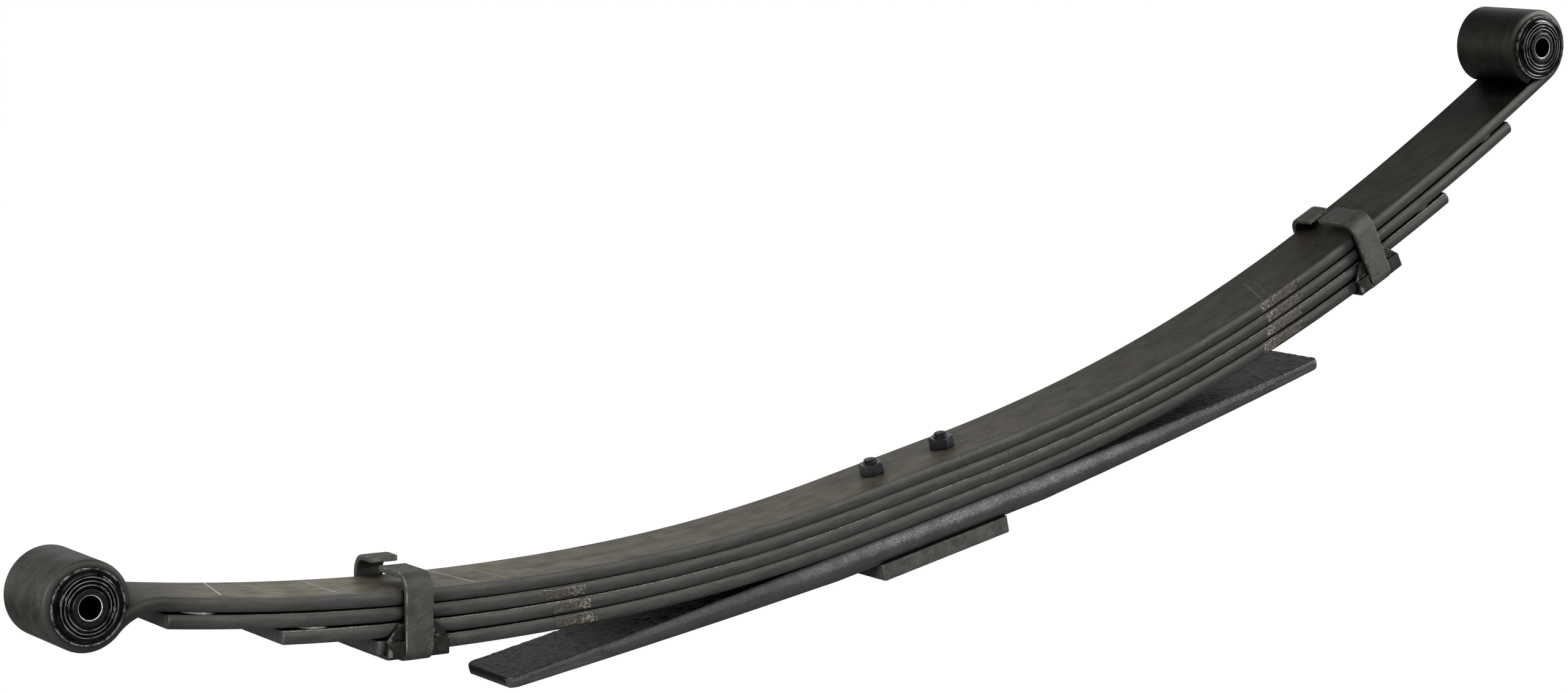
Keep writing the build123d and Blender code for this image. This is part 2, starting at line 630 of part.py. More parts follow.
# ---- write every piece --------------------------------------------------------------------
def pieces():
    nodes = {
        "main_leaf": main_leaf(),
        "overload_leaf": overload_leaf(),
        "axle_spacer": axle_spacer(),
        "center_bolts": center_bolts(),
        "center_nuts": center_nuts(),
    }
    for name in LEAF_ORDER[1:]:
        nodes[name] = short_leaf(name)
    for end in CAMBER:
        nodes[f"{end}_bush_outer_sleeve"] = bush_outer_sleeve(end)
        nodes[f"{end}_bush_rubber"] = bush_rubber(end)
        nodes[f"{end}_bush_inner_sleeve"] = bush_inner_sleeve(end)
        nodes[f"{end}_rebound_clip"] = rebound_clip(end)
        nodes[f"{end}_clip_liner"] = clip_liner(end)
        nodes[f"{end}_clip_rivet"] = clip_rivet(end)
        for name in ("second_leaf", "third_leaf"):
            nodes[f"{name}_{end}_insert"] = tip_insert(name, end)
    return nodes


os.makedirs("parts", exist_ok=True)
for node, solid in pieces().items():
    export_step(solid, f"parts/{node}.step")
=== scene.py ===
import math

import bmesh
import bpy
import numpy as np
from mathutils import Matrix, Vector, noise


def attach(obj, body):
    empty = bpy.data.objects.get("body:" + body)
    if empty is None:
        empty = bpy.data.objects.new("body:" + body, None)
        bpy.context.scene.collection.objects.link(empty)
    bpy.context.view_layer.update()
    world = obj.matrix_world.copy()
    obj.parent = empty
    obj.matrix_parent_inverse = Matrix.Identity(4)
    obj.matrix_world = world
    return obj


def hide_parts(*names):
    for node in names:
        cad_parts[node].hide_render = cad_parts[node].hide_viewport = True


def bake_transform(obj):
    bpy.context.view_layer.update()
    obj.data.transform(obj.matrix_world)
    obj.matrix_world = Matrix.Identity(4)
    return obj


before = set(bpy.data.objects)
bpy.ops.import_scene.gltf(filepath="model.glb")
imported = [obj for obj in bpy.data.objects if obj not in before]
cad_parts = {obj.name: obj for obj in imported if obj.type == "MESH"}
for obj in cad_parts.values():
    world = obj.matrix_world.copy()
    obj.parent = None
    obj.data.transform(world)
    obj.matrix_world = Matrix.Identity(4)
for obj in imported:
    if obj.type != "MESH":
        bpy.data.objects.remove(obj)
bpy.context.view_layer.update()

# Looks of the leaf spring. Shapes are worked out in millimetres in the frame of the CAD model:
# +X from the front eye to the rear eye, +Y across the spring, +Z up, origin under the axle spacer.
MM = 0.001
QUARTER = math.pi / 2

# ---- the spring's driving dimensions, as in the CAD model -----------------------------------
LEAF_WIDTH = 76.2
LEAF_THICKNESS = 11.4
EDGE_ROUNDNESS = 0.75
SIDE_Y = LEAF_WIDTH / 2
MAIN_TOP = 84.2
OVERLOAD_TOP = 38.6
CAMBER = {
    "front": {"way": -1, "flat": 75.0, "r1": 1540.0, "turn1": math.radians(8.0), "r2": 2080.0},
    "rear": {"way": 1, "flat": 56.0, "r1": 1676.0, "turn1": math.radians(15.0), "r2": 2860.0},
}
LEAVES = ["main_leaf", "second_leaf", "third_leaf", "fourth_leaf"]
TIP_REACH = {
    "second_leaf": {"front": 726.0, "rear": 732.0},
    "third_leaf": {"front": 635.0, "rear": 640.0},
    "fourth_leaf": {"front": 556.0, "rear": 563.0},
}
TIP_GAP = 2.4
TIP_CORNER_RADIUS = 2.5
TIP_EDGE_RADIUS = {"front": 0.9, "rear": 2.6}       # rounding of the cut end's edges
OVERLOAD_CORNER_RADIUS = 8.0
EYE_BORE_RADIUS = 24.85
EYE_MIDDLE_RADIUS = EYE_BORE_RADIUS + LEAF_THICKNESS / 2
FRONT_EYE = (787.0, 223.0)
FRONT_BEND_RADIUS = 48.0
REAR_EYE_REACH = 780.0
EYE_END_GAP = 1.6
CLIP_STATION = {"front": 525.0, "rear": 537.0}
OVERLOAD_REACH = {"front": 447.0, "rear": 452.0}
OVERLOAD_RISE = {"front": 4.4, "rear": 7.9}
OVERLOAD_TAPER_START = 115.0
OVERLOAD_THICKNESS = 23.6
OVERLOAD_TIP_THICKNESS = 9.2


def section_inset(thickness):
    """How far a bar's flat top ends inside its bulging side."""
    radius = EDGE_ROUNDNESS * thickness
    return radius - math.sqrt(radius**2 - (thickness / 2) ** 2)


LEAF_FLAT = SIDE_Y - section_inset(LEAF_THICKNESS)      # half width of a leaf's flat top


# ---- camber ----------------------------------------------------------------------------------
def camber_radii(end, depth, extra):
    """The two radii of a line this deep under the main leaf's top."""
    c = CAMBER[end]
    return c["r1"] + depth + extra, c["r2"] + depth + extra


def slope_at(end, depth, reach, extra=0.0):
    """Slope of the line this deep under the main leaf's top, at a level distance from the middle."""
    c = CAMBER[end]
    r1, r2 = camber_radii(end, depth, extra)
    x1 = c["flat"] + r1 * math.sin(c["turn1"])
    if reach <= x1:
        return math.asin((reach - c["flat"]) / r1)
    return math.asin((reach - x1) / r2 + math.sin(c["turn1"]))


def leaf_extra(index, end):
    """Widening of the camber that opens TIP_GAP above this leaf's tip."""
    if index == 0:
        return 0.0
    above = leaf_extra(index - 1, end)
    slope = slope_at(end, index * LEAF_THICKNESS, TIP_REACH[LEAVES[index]][end], above)
    return above + TIP_GAP / (1 - math.cos(slope))


def camber_segments(end, depth, extra, last_slope):
    """(length, curvature) of each stretch from the middle out to the last slope."""
    c = CAMBER[end]
    r1, r2 = camber_radii(end, depth, extra)
    first = min(last_slope, c["turn1"])
    segments = [(c["flat"], 0.0), (r1 * first, 1 / r1)]
    if last_slope > c["turn1"]:
        segments.append((r2 * (last_slope - c["turn1"]), 1 / r2))
    return segments


def front_eye_segments():
    """The main leaf's front half: camber, reverse bend and the rolled eye."""
    depth = LEAF_THICKNESS / 2
    c = CAMBER["front"]
    r1, r2 = camber_radii("front", depth, 0.0)
    t1 = c["turn1"]
    big = (c["flat"] + (r1 - r2) * math.sin(t1), MAIN_TOP - depth + r1 - (r1 - r2) * math.cos(t1))
    to_big = r2 + FRONT_BEND_RADIUS
    to_eye = EYE_MIDDLE_RADIUS + FRONT_BEND_RADIUS
    dx, dz = big[0] - FRONT_EYE[0], big[1] - FRONT_EYE[1]
    apart = math.hypot(dx, dz)
    turn = math.acos((to_eye**2 + apart**2 - to_big**2) / (2 * to_eye * apart))
    angle = math.atan2(dz, dx) + turn
    bend = (FRONT_EYE[0] + to_eye * math.cos(angle), FRONT_EYE[1] + to_eye * math.sin(angle))
    slope = math.atan2(bend[0] - big[0], big[1] - bend[1])
    dive = math.atan2(bend[0] - FRONT_EYE[0], FRONT_EYE[1] - bend[1])
    outer = EYE_BORE_RADIUS + LEAF_THICKNESS
    touch = FRONT_BEND_RADIUS + depth + EYE_END_GAP
    gap = math.acos((outer**2 + to_eye**2 - touch**2) / (2 * outer * to_eye))
    return camber_segments("front", depth, 0.0, slope) + [
        (FRONT_BEND_RADIUS * (slope - dive), -1 / FRONT_BEND_RADIUS),
        (EYE_MIDDLE_RADIUS * (2 * math.pi - gap), 1 / EYE_MIDDLE_RADIUS),
    ]


def rear_eye_slope():
    """Slope at which the rear half runs into its rolled eye."""
    c = CAMBER["rear"]
    r1, r2 = camber_radii("rear", LEAF_THICKNESS / 2, 0.0)
    level = REAR_EYE_REACH - c["flat"] + (r2 - r1) * math.sin(c["turn1"])
    return math.asin(level / (r2 - EYE_MIDDLE_RADIUS))


def rear_eye_segments():
    """The main leaf's rear half: camber and the rolled eye."""
    gap = math.acos((EYE_BORE_RADIUS - EYE_END_GAP) / (EYE_BORE_RADIUS + LEAF_THICKNESS))
    return camber_segments("rear", LEAF_THICKNESS / 2, 0.0, rear_eye_slope()) + [
        (EYE_MIDDLE_RADIUS * (2 * math.pi - gap), 1 / EYE_MIDDLE_RADIUS),
    ]


def walk(segments, start, heading, stations):
    """Places and headings along straight and round stretches, at these distances."""
    places = []
    headings = []
    x, z = start
    done = 0.0
    index = 0
    for s in stations:
        while index < len(segments) - 1 and s > done + segments[index][0] + 1e-9:
            length, curve = segments[index]
            x, z, heading = step_along(x, z, heading, length, curve)
            done += length
            index += 1
        px, pz, ph = step_along(x, z, heading, s - done, segments[index][1])
        places.append((px, pz))
        headings.append(ph)
    return np.array(places), np.array(headings)


def step_along(x, z, heading, length, curve):
    """Place and heading after one straight or round stretch."""
    if curve == 0.0:
        return x + length * math.cos(heading), z + length * math.sin(heading), heading
    turned = heading + length * curve
    x += (math.sin(turned) - math.sin(heading)) / curve
    z += (math.cos(heading) - math.cos(turned)) / curve
    return x, z, turned


# ---- mesh helpers ----------------------------------------------------------------------------
def finish_mesh(name, mesh, materials, sharp):
    """Give a mesh its materials, outward normals and shading, and put it in the scene."""
    check = bmesh.new()
    check.from_mesh(mesh)
    if check.calc_volume(signed=True) < 0:
        mesh.flip_normals()
    check.free()
    for material in materials:
        mesh.materials.append(material)
    mesh.shade_smooth()
    mesh.set_sharp_from_angle(angle=math.radians(sharp))
    piece = bpy.data.objects.new(name, mesh)
    bpy.context.scene.collection.objects.link(piece)
    return piece


def stand_in(piece, body, node_name):
    """The piece rides on a body and is seen instead of a CAD node."""
    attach(piece, body)
    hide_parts(node_name)


def skin(name, rings, along, around, materials, sharp=32.0, cap_places=None, tone=None):
    """Closed skin over rings of points (mm).

    `surf` holds each corner's place along and around the unrolled skin, and its tone.
    """
    n, m, _ = rings.shape
    i, j = np.meshgrid(np.arange(n - 1), np.arange(m), indexing="ij")
    k = (j + 1) % m
    quads = np.stack([i * m + j, i * m + k, (i + 1) * m + k, (i + 1) * m + j], -1).reshape(-1, 4)
    s = np.stack([along[i], along[i], along[i + 1], along[i + 1]], -1)
    q = np.stack([around[j], around[j + 1], around[j + 1], around[j]], -1)
    if tone is None:
        tone = np.ones((n, m))
    shade = np.stack([tone[i, j], tone[i, k], tone[i + 1, k], tone[i + 1, j]], -1)
    surf = np.stack([s, q, shade], -1).reshape(-1, 3)
    caps = [list(range(m)), list(range(n * m - m, n * m))[::-1]]
    if cap_places is None:
        cap_places = np.stack([around[:-1], np.zeros(m)], -1)
    flat = np.column_stack([cap_places, np.full(m, 1.0)])
    flats = [flat, flat[::-1]]
    mesh = bpy.data.meshes.new(name)
    mesh.from_pydata((rings.reshape(-1, 3) * MM).tolist(), [], quads.tolist() + caps)
    places = mesh.attributes.new("surf", "FLOAT_VECTOR", "CORNER")
    places.data.foreach_set("vector", np.concatenate([surf] + flats).ravel())
    slots = np.zeros(len(quads) + 2, np.int32)
    slots[-2:] = min(1, len(materials) - 1)
    mesh.polygons.foreach_set("material_index", slots)
    return finish_mesh(name, mesh, materials, sharp)


def bumps(points, scale, seed=0.0):
    """Smooth noise from -1 to 1 at each point (mm), with features of about `scale` mm."""
    shift = Vector((seed, seed * 0.37, -seed * 0.61))
    return np.array([noise.noise(Vector(p) / scale + shift) for p in points])


def between(value, low, high, soft):
    """1 inside low..high, fading to 0 over `soft` outside it."""
    rise = np.clip((value - low) / soft + 1.0, 0.0, 1.0)
    fall = np.clip((high - value) / soft + 1.0, 0.0, 1.0)
    return np.minimum(rise, fall)


# ---- leaves ----------------------------------------------------------------------------------
SIDE_STEPS = 12
TOP_STEPS = 34
BOTTOM_STEPS = 10
LEAF_STEP = 2.5
FINE_STEP = 0.9
EYE_PART = 260.0           # length at the main leaf's end that is not plain camber
EYE_END_EDGE = 0.8

# Ground flats on the near side, as (from, to) level distances from the middle.
GROUND = {
    "main_leaf": {"front": [], "rear": [(392.0, 440.0)]},
    "second_leaf": {"front": [(363.0, 401.0)], "rear": [(397.0, 441.0)]},
    "third_leaf": {"front": [(360.0, 397.0)], "rear": [(393.0, 441.0)]},
    "fourth_leaf": {"front": [(357.0, 396.0)], "rear": [(389.0, 438.0)]},
}
RIM_WEAR = {"main_leaf": None, "second_leaf": 0.62, "third_leaf": 0.42, "fourth_leaf": 0.60}
GROUND_DEPTH = {"main_leaf": 1.2, "second_leaf": 0.7, "third_leaf": 0.8, "fourth_leaf": 0.9}

# Small drops of paint and chips on the near side: (level distance, place around, radius, height).
DROPS = {
    ("second_leaf", "rear"): [(83.2, -3.4, 1.5, 0.7), (41.0, -3.0, 0.8, 0.4)],
    ("third_leaf", "rear"): [(48.6, -4.5, 1.6, 0.8), (58.5, -3.6, 1.5, 0.8), (96.0, -3.6, 1.2, 0.5)],
    ("main_leaf", "rear"): [(30.6, -0.6, 2.2, -0.7)],
    ("main_leaf", "front"): [(476.0, -2.2, 2.6, -0.3), (439.0, -1.4, 1.8, -0.25), (421.0, -1.2, 3.0, -0.3)],
}

# Tone of the paint at these distances along each half of the main leaf, top and side: partly pale dust,
# partly painted light and shade (bright tops towards the front, a painted shadow on the top under the rear
# eye, darker sides towards the eyes).
DUST_AND_PAINTED_LIGHT = {
    "front": ((0.0, 300.0, 640.0, 700.0, 740.0, 900.0), (1.6, 1.85, 3.6, 2.8, 0.9, 0.9),
              (1.1, 1.05, 1.0, 1.0, 0.45, 0.5)),
    "rear": ((0.0, 200.0, 400.0, 690.0, 740.0, 800.0, 830.0), (1.5, 0.95, 0.75, 0.50, 0.12, 0.02, 0.30),
             (1.1, 0.85, 0.75, 0.7, 0.65, 0.5, 0.22)),
}


def section_points(thickness, side_steps, top_steps, bottom_steps):
    """Across, up and unrolled places round a bar with convex sides, from its near lower corner."""
    radius = EDGE_ROUNDNESS * thickness
    flat = SIDE_Y - section_inset(thickness)
    half = math.asin(thickness / 2 / radius)
    arc_centre = SIDE_Y - radius
    across, up, around = [], [], []
    for step in range(side_steps):
        a = -half + 2 * half * step / side_steps
        across.append(-arc_centre - radius * math.cos(a))
        up.append(radius * math.sin(a))
        around.append(radius * (a - half))
    for step in range(top_steps):
        share = step / top_steps
        across.append(-flat + 2 * flat * share)
        up.append(thickness / 2)
        around.append(2 * flat * share)
    for step in range(side_steps):
        a = half - 2 * half * step / side_steps
        across.append(arc_centre + radius * math.cos(a))
        up.append(radius * math.sin(a))
        around.append(2 * flat + radius * (half - a))
    for step in range(bottom_steps):
        share = step / bottom_steps
        across.append(flat - 2 * flat * share)
        up.append(-thickness / 2)
        around.append(2 * flat + 2 * radius * half + 2 * flat * share)
    around.append(4 * flat + 2 * radius * half)
    return np.array(across), np.array(up), np.array(around)


def quarter_inset(into, radius):
    """How far a quarter round of this radius has come in, `into` mm along it."""
    return radius - np.sqrt(np.maximum(radius**2 - np.clip(into, 0.0, radius) ** 2, 0.0))


def station_list(total, windows, tip_edge):
    """Distances of a leaf's rings, closer together in the windows and at the tip."""
    stations = [np.arange(0.0, total, LEAF_STEP)]
    for low, high in windows:
        stations.append(np.arange(max(low, 0.0), min(high, total), FINE_STEP))
    turn = np.linspace(0.0, QUARTER, 7)
    for radius in (TIP_CORNER_RADIUS, tip_edge):
        stations.append(total - radius * (1 - np.sin(turn)))
    stations = np.unique(np.round(np.concatenate(stations), 2))
    return np.append(stations[stations < total - 0.04], total)


def leaf_half(name, end, marks, groove_from, cut_steel):
    """One half of a main-stage leaf, from the middle to its tip or eye."""
    index = LEAVES.index(name)
    way = CAMBER[end]["way"]
    depth = (index + 0.5) * LEAF_THICKNESS
    extra = leaf_extra(index, end)
    if name == "main_leaf":
        segments = front_eye_segments() if end == "front" else rear_eye_segments()
    else:
        last = slope_at(end, depth, TIP_REACH[name][end], extra)
        segments = camber_segments(end, depth, extra, last)
    total = sum(length for length, _ in segments)
    rough = np.arange(0.0, total, 5.0)
    spots, _ = walk(segments, (0.0, MAIN_TOP - depth), 0.0, rough)
    camber_part = rough < total - (EYE_PART if name == "main_leaf" else 0.0)

    def distance_of(reach):
        return float(np.interp(reach, spots[camber_part, 0], rough[camber_part]))

    ground = [(distance_of(a), distance_of(b)) for a, b in GROUND[name][end]]
    paint = leaf_paint(f"{name}_{end}_paint", index * 2.0 + (end == "rear"), marks, ground, groove_from,
                       RIM_WEAR[name])
    drops = [(distance_of(reach), q, r, high) for reach, q, r, high in DROPS.get((name, end), ())]
    windows = [(a - 6, b + 6) for a, b in ground] + [(at - 2 * r, at + 2 * r) for at, _, r, _ in drops]
    tip_edge = EYE_END_EDGE if name == "main_leaf" else TIP_EDGE_RADIUS[end]
    stations = station_list(total, windows, tip_edge)
    places, headings = walk(segments, (0.0, MAIN_TOP - depth), 0.0, stations)
    across, up, around = section_points(LEAF_THICKNESS, SIDE_STEPS, TOP_STEPS, BOTTOM_STEPS)
    n, m = len(stations), len(across)
    w = np.tile(across, (n, 1))
    h = np.tile(up, (n, 1))
    s = np.tile(stations[:, None], (1, m))
    # Rounded tip corners, then a small break of the cut end's edges.
    if name != "main_leaf":
        narrower = quarter_inset(stations - (total - TIP_CORNER_RADIUS), TIP_CORNER_RADIUS)
        w -= np.sign(w) * narrower[:, None] * np.clip(np.abs(w) / LEAF_FLAT, 0.0, 1.0)
    lower = quarter_inset(stations - (total - tip_edge), tip_edge * 0.98)[:, None]
    h *= 1 - lower / (LEAF_THICKNESS / 2)
    w -= np.sign(w) * 0.5 * lower * np.clip(np.abs(w) / LEAF_FLAT, 0.0, 1.0)
    # Rolled surface: long shallow waves and small dents.
    seed = 10.0 * index + (3.0 if end == "front" else 0.0)
    unrolled = np.stack([s.ravel() * 0.25, np.tile(around[:-1], n), np.full(n * m, seed)], -1)
    waves = bumps(unrolled, 14.0, seed) * 0.10 + bumps(unrolled, 4.5, seed + 5) * 0.05
    waves = waves.reshape(n, m)
    waves *= np.interp(stations, [0.0, 8.0], [0.0, 1.0])[:, None]
    on_side = (np.abs(w) > LEAF_FLAT * 0.999).astype(float)
    w += np.sign(w) * waves * on_side
    h += np.sign(h) * waves * (1 - on_side) * 0.6
    for at, q, radius, high in drops:
        near = np.exp(-((s - at) ** 2 + (around[:-1] - q) ** 2) / (0.4 * radius**2))
        w -= high * near
    # Ground flats: the convex near side is cut back to a plane with ragged edges.
    for low, high in ground:
        cut = between(s, low + 2.0, high - 2.0, 2.0) * GROUND_DEPTH[name]
        face = np.stack([s.ravel(), h.ravel(), np.full(n * m, seed)], -1)
        ragged = bumps(face, 2.2, 9.0).reshape(n, m)
        limit = -(SIDE_Y - cut * (1 + 0.25 * ragged)) + 0.12 * ragged * (cut > 0.1)
        w = np.where(cut > 0.02, np.maximum(w, limit), w)
    normal_x, normal_z = -np.sin(headings)[:, None], np.cos(headings)[:, None]
    rings = np.stack([
        way * (places[:, :1] + h * normal_x),
        w,
        places[:, 1:] + h * normal_z,
    ], -1)
    # Painted light and shade, with dust on the tops: the tone that scales the paint's colour along the
    # leaf.
    knots, top_dust_and_light, side_light_and_shade = DUST_AND_PAINTED_LIGHT[end]
    is_top = (around[:-1] > -0.01) & (around[:-1] < 2 * LEAF_FLAT + 0.01)
    tone = np.where(is_top, np.interp(s, knots, top_dust_and_light), np.interp(s, knots, side_light_and_shade))
    piece = skin(f"{name}_{end}", rings, stations, around, [paint, cut_steel],
                 cap_places=np.stack([across, up], -1), tone=tone)
    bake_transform(piece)
    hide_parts(name)


OVERLOAD_GROUND = ((-431.0, -354.0, 1.6), (394.0, 447.0, 1.3))     # from, to, depth
OVERLOAD_CREASES = ((-356.0, 0.25), (398.0, 0.35))                 # where, slant across
OVERLOAD_STEPS = {"side_steps": 16, "top_steps": 52, "bottom_steps": 14}


def overload_piece(paint):
    """The thick lower leaf: pebbled skin, creased and ground tips."""
    stations = np.unique(np.round(np.concatenate([
        np.arange(-OVERLOAD_REACH["front"], -240.0, 1.2), np.arange(-240.0, 250.0, 2.5),
        np.arange(250.0, OVERLOAD_REACH["rear"], 1.2)]), 2))
    turn = np.linspace(0.0, QUARTER, 9)
    for tip in (-OVERLOAD_REACH["front"], OVERLOAD_REACH["rear"]):
        inward = -math.copysign(1.0, tip)
        stations = np.append(stations, tip + inward * OVERLOAD_CORNER_RADIUS * (1 - np.sin(turn)))
        stations = np.append(stations, [tip, tip + inward * 0.3, tip + inward * 0.9])
    stations = np.unique(np.round(stations, 2))
    rings = []
    for x in stations:
        end = "front" if x < 0 else "rear"
        reach = abs(x)
        share = max(0.0, (reach - OVERLOAD_TAPER_START) / (OVERLOAD_REACH[end] - OVERLOAD_TAPER_START))
        thickness = OVERLOAD_THICKNESS + share * (OVERLOAD_TIP_THICKNESS - OVERLOAD_THICKNESS)
        middle = OVERLOAD_TOP + OVERLOAD_RISE[end] * share**2 - thickness / 2
        across, up, around = section_points(thickness, **OVERLOAD_STEPS)
        left = OVERLOAD_REACH[end] - reach
        narrower = quarter_inset(OVERLOAD_CORNER_RADIUS - left, OVERLOAD_CORNER_RADIUS)
        across = across - np.sign(across) * narrower * np.clip(np.abs(across) / (SIDE_Y - 4), 0, 1)
        broken = np.interp(left, [0.0, 0.3, 0.9], [0.9, 0.35, 0.0])
        across = across - np.sign(across) * broken
        up = up - np.sign(up) * broken * np.clip(np.abs(up) / (thickness / 2), 0, 1)
        rings.append(np.stack([np.full(len(across), x), across, middle + up], -1))
    rings = np.array(rings)
    around = section_points(OVERLOAD_THICKNESS, **OVERLOAD_STEPS)[2]
    n, m, _ = rings.shape
    flat_points = rings.reshape(-1, 3)
    pebble = bumps(flat_points * [1.0, 0.8, 1.0], 2.4, 3.0) * 0.5 + bumps(flat_points, 5.5, 8.0) * 0.5
    pebble = pebble.reshape(n, m)
    upward = np.zeros(m)
    first_top = OVERLOAD_STEPS["side_steps"]
    upward[first_top - 5:first_top + OVERLOAD_STEPS["top_steps"] + 5] = 1.0
    outer = np.clip((np.abs(rings[:, :, 0]) - 150.0) / 60.0, 0.0, 1.0)
    rings[:, :, 2] += pebble * upward * 0.55 * outer - 0.3 * upward * outer
    side = (np.abs(rings[:, :, 1]) > SIDE_Y - 4.4).astype(float)
    waves = bumps(flat_points * [0.5, 1, 1], 9.0, 21.0).reshape(n, m)
    rings[:, :, 1] += np.sign(rings[:, :, 1]) * side * (0.18 * waves + 0.16 * pebble - 0.3)
    for low, high, depth in OVERLOAD_GROUND:
        cut = between(rings[:, :, 0], low + 3, high - 3, 3.0) * depth
        limit = -(SIDE_Y - cut * (1 + 0.2 * waves)) + 0.2 * pebble * (cut > 0.1)
        rings[:, :, 1] = np.where(cut > 0.02, np.maximum(rings[:, :, 1], limit), rings[:, :, 1])
    for crease_x, slant in OVERLOAD_CREASES:
        line = crease_x + slant * rings[:, :, 1]
        ridge = np.exp(-((rings[:, :, 0] - line) / 2.2) ** 2)
        rings[:, :, 2] += 0.45 * ridge * upward
    piece = skin("overload_leaf_body", rings, stations, around, [paint],
                 cap_places=np.stack([across, up], -1))
    stand_in(piece, "root", "overload_leaf")


# ---- round pieces ----------------------------------------------------------------------------
def turned(name, profile, centre, materials, slot, segments=144, wobble=None, sharp=32.0):
    """Closed ring turned about the Y axis through centre, from a closed (radius, y) outline."""
    profile = np.array(profile, float)
    angles = np.linspace(0, 2 * math.pi, segments, endpoint=False)
    grid = np.zeros((segments, len(profile), 3))
    for i, a in enumerate(angles):
        r, y = profile[:, 0], profile[:, 1]
        if wobble is not None:
            r, y = wobble(r, y, a)
        grid[i] = np.stack([centre[0] + r * math.cos(a), y, centre[1] + r * math.sin(a)], -1)
    n, m, _ = grid.shape
    i, j = np.meshgrid(np.arange(n), np.arange(m), indexing="ij")
    p, k = (i + 1) % n, (j + 1) % m
    quads = np.stack([i * m + j, i * m + k, p * m + k, p * m + j], -1).reshape(-1, 4)
    mesh = bpy.data.meshes.new(name)
    mesh.from_pydata((grid.reshape(-1, 3) * MM).tolist(), [], quads.tolist())
    return finish_mesh(name, mesh, materials, sharp)


def rounded_corner(centre_r, centre_y, radius, start, stop, steps=4):
    """Points on an arc, its angles in degrees."""
    angles = np.radians(np.linspace(start, stop, steps))
    return [(centre_r + radius * math.cos(a), centre_y + radius * math.sin(a)) for a in angles]


def eye_centre(end):
    """(x, z) of an eye's axis in mm."""
    if end == "front":
        return -FRONT_EYE[0], FRONT_EYE[1]
    slope = rear_eye_slope()
    depth = LEAF_THICKNESS / 2
    segments = camber_segments("rear", depth, 0.0, slope)
    total = sum(length for length, _ in segments)
    places, _ = walk(segments, (0.0, MAIN_TOP - depth), 0.0, [total])
    x, z = places[0]
    return x - EYE_MIDDLE_RADIUS * math.sin(slope), z + EYE_MIDDLE_RADIUS * math.cos(slope)


SLEEVE_OUTER = EYE_BORE_RADIUS - 0.05
SLEEVE_INNER = SLEEVE_OUTER - 2.2
FLANGE_RADIUS = 30.5
FLANGE_BACK = SIDE_Y + 0.1
FLANGE_FRONT = FLANGE_BACK + 2.0
RUBBER_EDGE = 28.9
RIDGES = ((23.6, 1.35), (20.6, 1.2), (17.6, 1.2))
INNER_RADIUS = 14.5
BORE_RADIUS = 9.25
INNER_HALF = 44.0


def mirrored(points):
    """A half outline from y = 0 outwards and back, closed by its mirror image."""
    return points + [(r, -y) for r, y in reversed(points)]


def outer_sleeve(end, material):
    """The bush's flanged outer sleeve, its rim crimped by hand-sized waves."""
    rim_top = FLANGE_FRONT + 1.0
    half = [(SLEEVE_OUTER, 4.0), (SLEEVE_OUTER, FLANGE_BACK)]
    half += rounded_corner(FLANGE_RADIUS - 0.5, FLANGE_BACK + 0.5, 0.5, -90, 0)
    half += rounded_corner(FLANGE_RADIUS - 0.55, rim_top - 0.55, 0.55, 0, 180, 7)
    half += [(FLANGE_RADIUS - 1.3, FLANGE_FRONT + 0.05), (FLANGE_RADIUS - 2.4, FLANGE_FRONT)]
    half += [(SLEEVE_INNER + 1.0, FLANGE_FRONT), (SLEEVE_INNER, FLANGE_FRONT - 1.0), (SLEEVE_INNER, 4.0)]

    def crimp(r, y, a):
        lift = noise.noise(Vector((math.cos(a) * 4, math.sin(a) * 4, 2.0 + (end == "rear")))) * 0.35
        outer_part = np.clip((r - 26.0) / 3.0, 0, 1) * (np.abs(y) > FLANGE_FRONT)
        return r + lift * 0.6 * outer_part, y + np.sign(y) * lift * outer_part

    piece = turned(f"{end}_bush_sleeve", mirrored(half), eye_centre(end), [material], "sleeve_steel",
                   segments=180, wobble=crimp)
    stand_in(piece, f"{end}_half", f"{end}_bush_outer_sleeve")


def rubber(end, material):
    """Moulded rubber between the sleeves, with three rings and a few nubs on each face."""
    face = FLANGE_FRONT
    bore = INNER_RADIUS + 0.05
    radii = np.concatenate([[SLEEVE_INNER - 0.03], np.linspace(RUBBER_EDGE - 0.15, bore, 90)])
    half = [(SLEEVE_INNER - 0.03, 4.0), (SLEEVE_INNER - 0.03, face + 0.05), (RUBBER_EDGE, face + 0.05)]
    half.append((RUBBER_EDGE, face + 0.45))
    for r in radii[1:]:
        y = face + float(np.interp(r, [bore, 25.7, RUBBER_EDGE], [2.4, 1.1, 0.6]))
        for ring, height in RIDGES:
            off = (r - ring) / 1.25
            if abs(off) < 1.0:
                y += height * math.sqrt(1 - off * off)
        groove = (r - 26.4) / 0.9
        y -= 0.5 * math.exp(-groove * groove)
        half.append((float(r), y))
    half.append((bore, 4.0))
    shift = 0.0 if end == "front" else 5.0

    nubs = [math.radians(d) for d in ((153.0, -24.0) if end == "front" else (196.0, 12.0, 60.0))]

    def flow(r, y, a):
        lift = 0.0
        for nub in nubs:
            off = math.remainder(a - nub, 2 * math.pi) * 20.6
            lift = lift + 1.2 * np.exp(-((r - 20.8) / 1.3) ** 2 - (off / 1.3) ** 2)
        swell = noise.noise(Vector((math.cos(a) * 1.6 + shift, math.sin(a) * 1.6, 0.3)))
        fine = noise.noise(Vector((math.cos(a) * 7 + shift, math.sin(a) * 7, 3.0)))
        soft = np.clip((np.abs(y) - face - 0.3) / 1.0, 0, 1)
        return r + 0.14 * fine * soft, y + np.sign(y) * soft * (0.25 * swell + 0.12 * fine + lift)

    piece = turned(f"{end}_bush_filling", mirrored(half), eye_centre(end), [material], "bush_rubber",
                   segments=200, wobble=flow, sharp=50.0)
    stand_in(piece, f"{end}_half", f"{end}_bush_rubber")


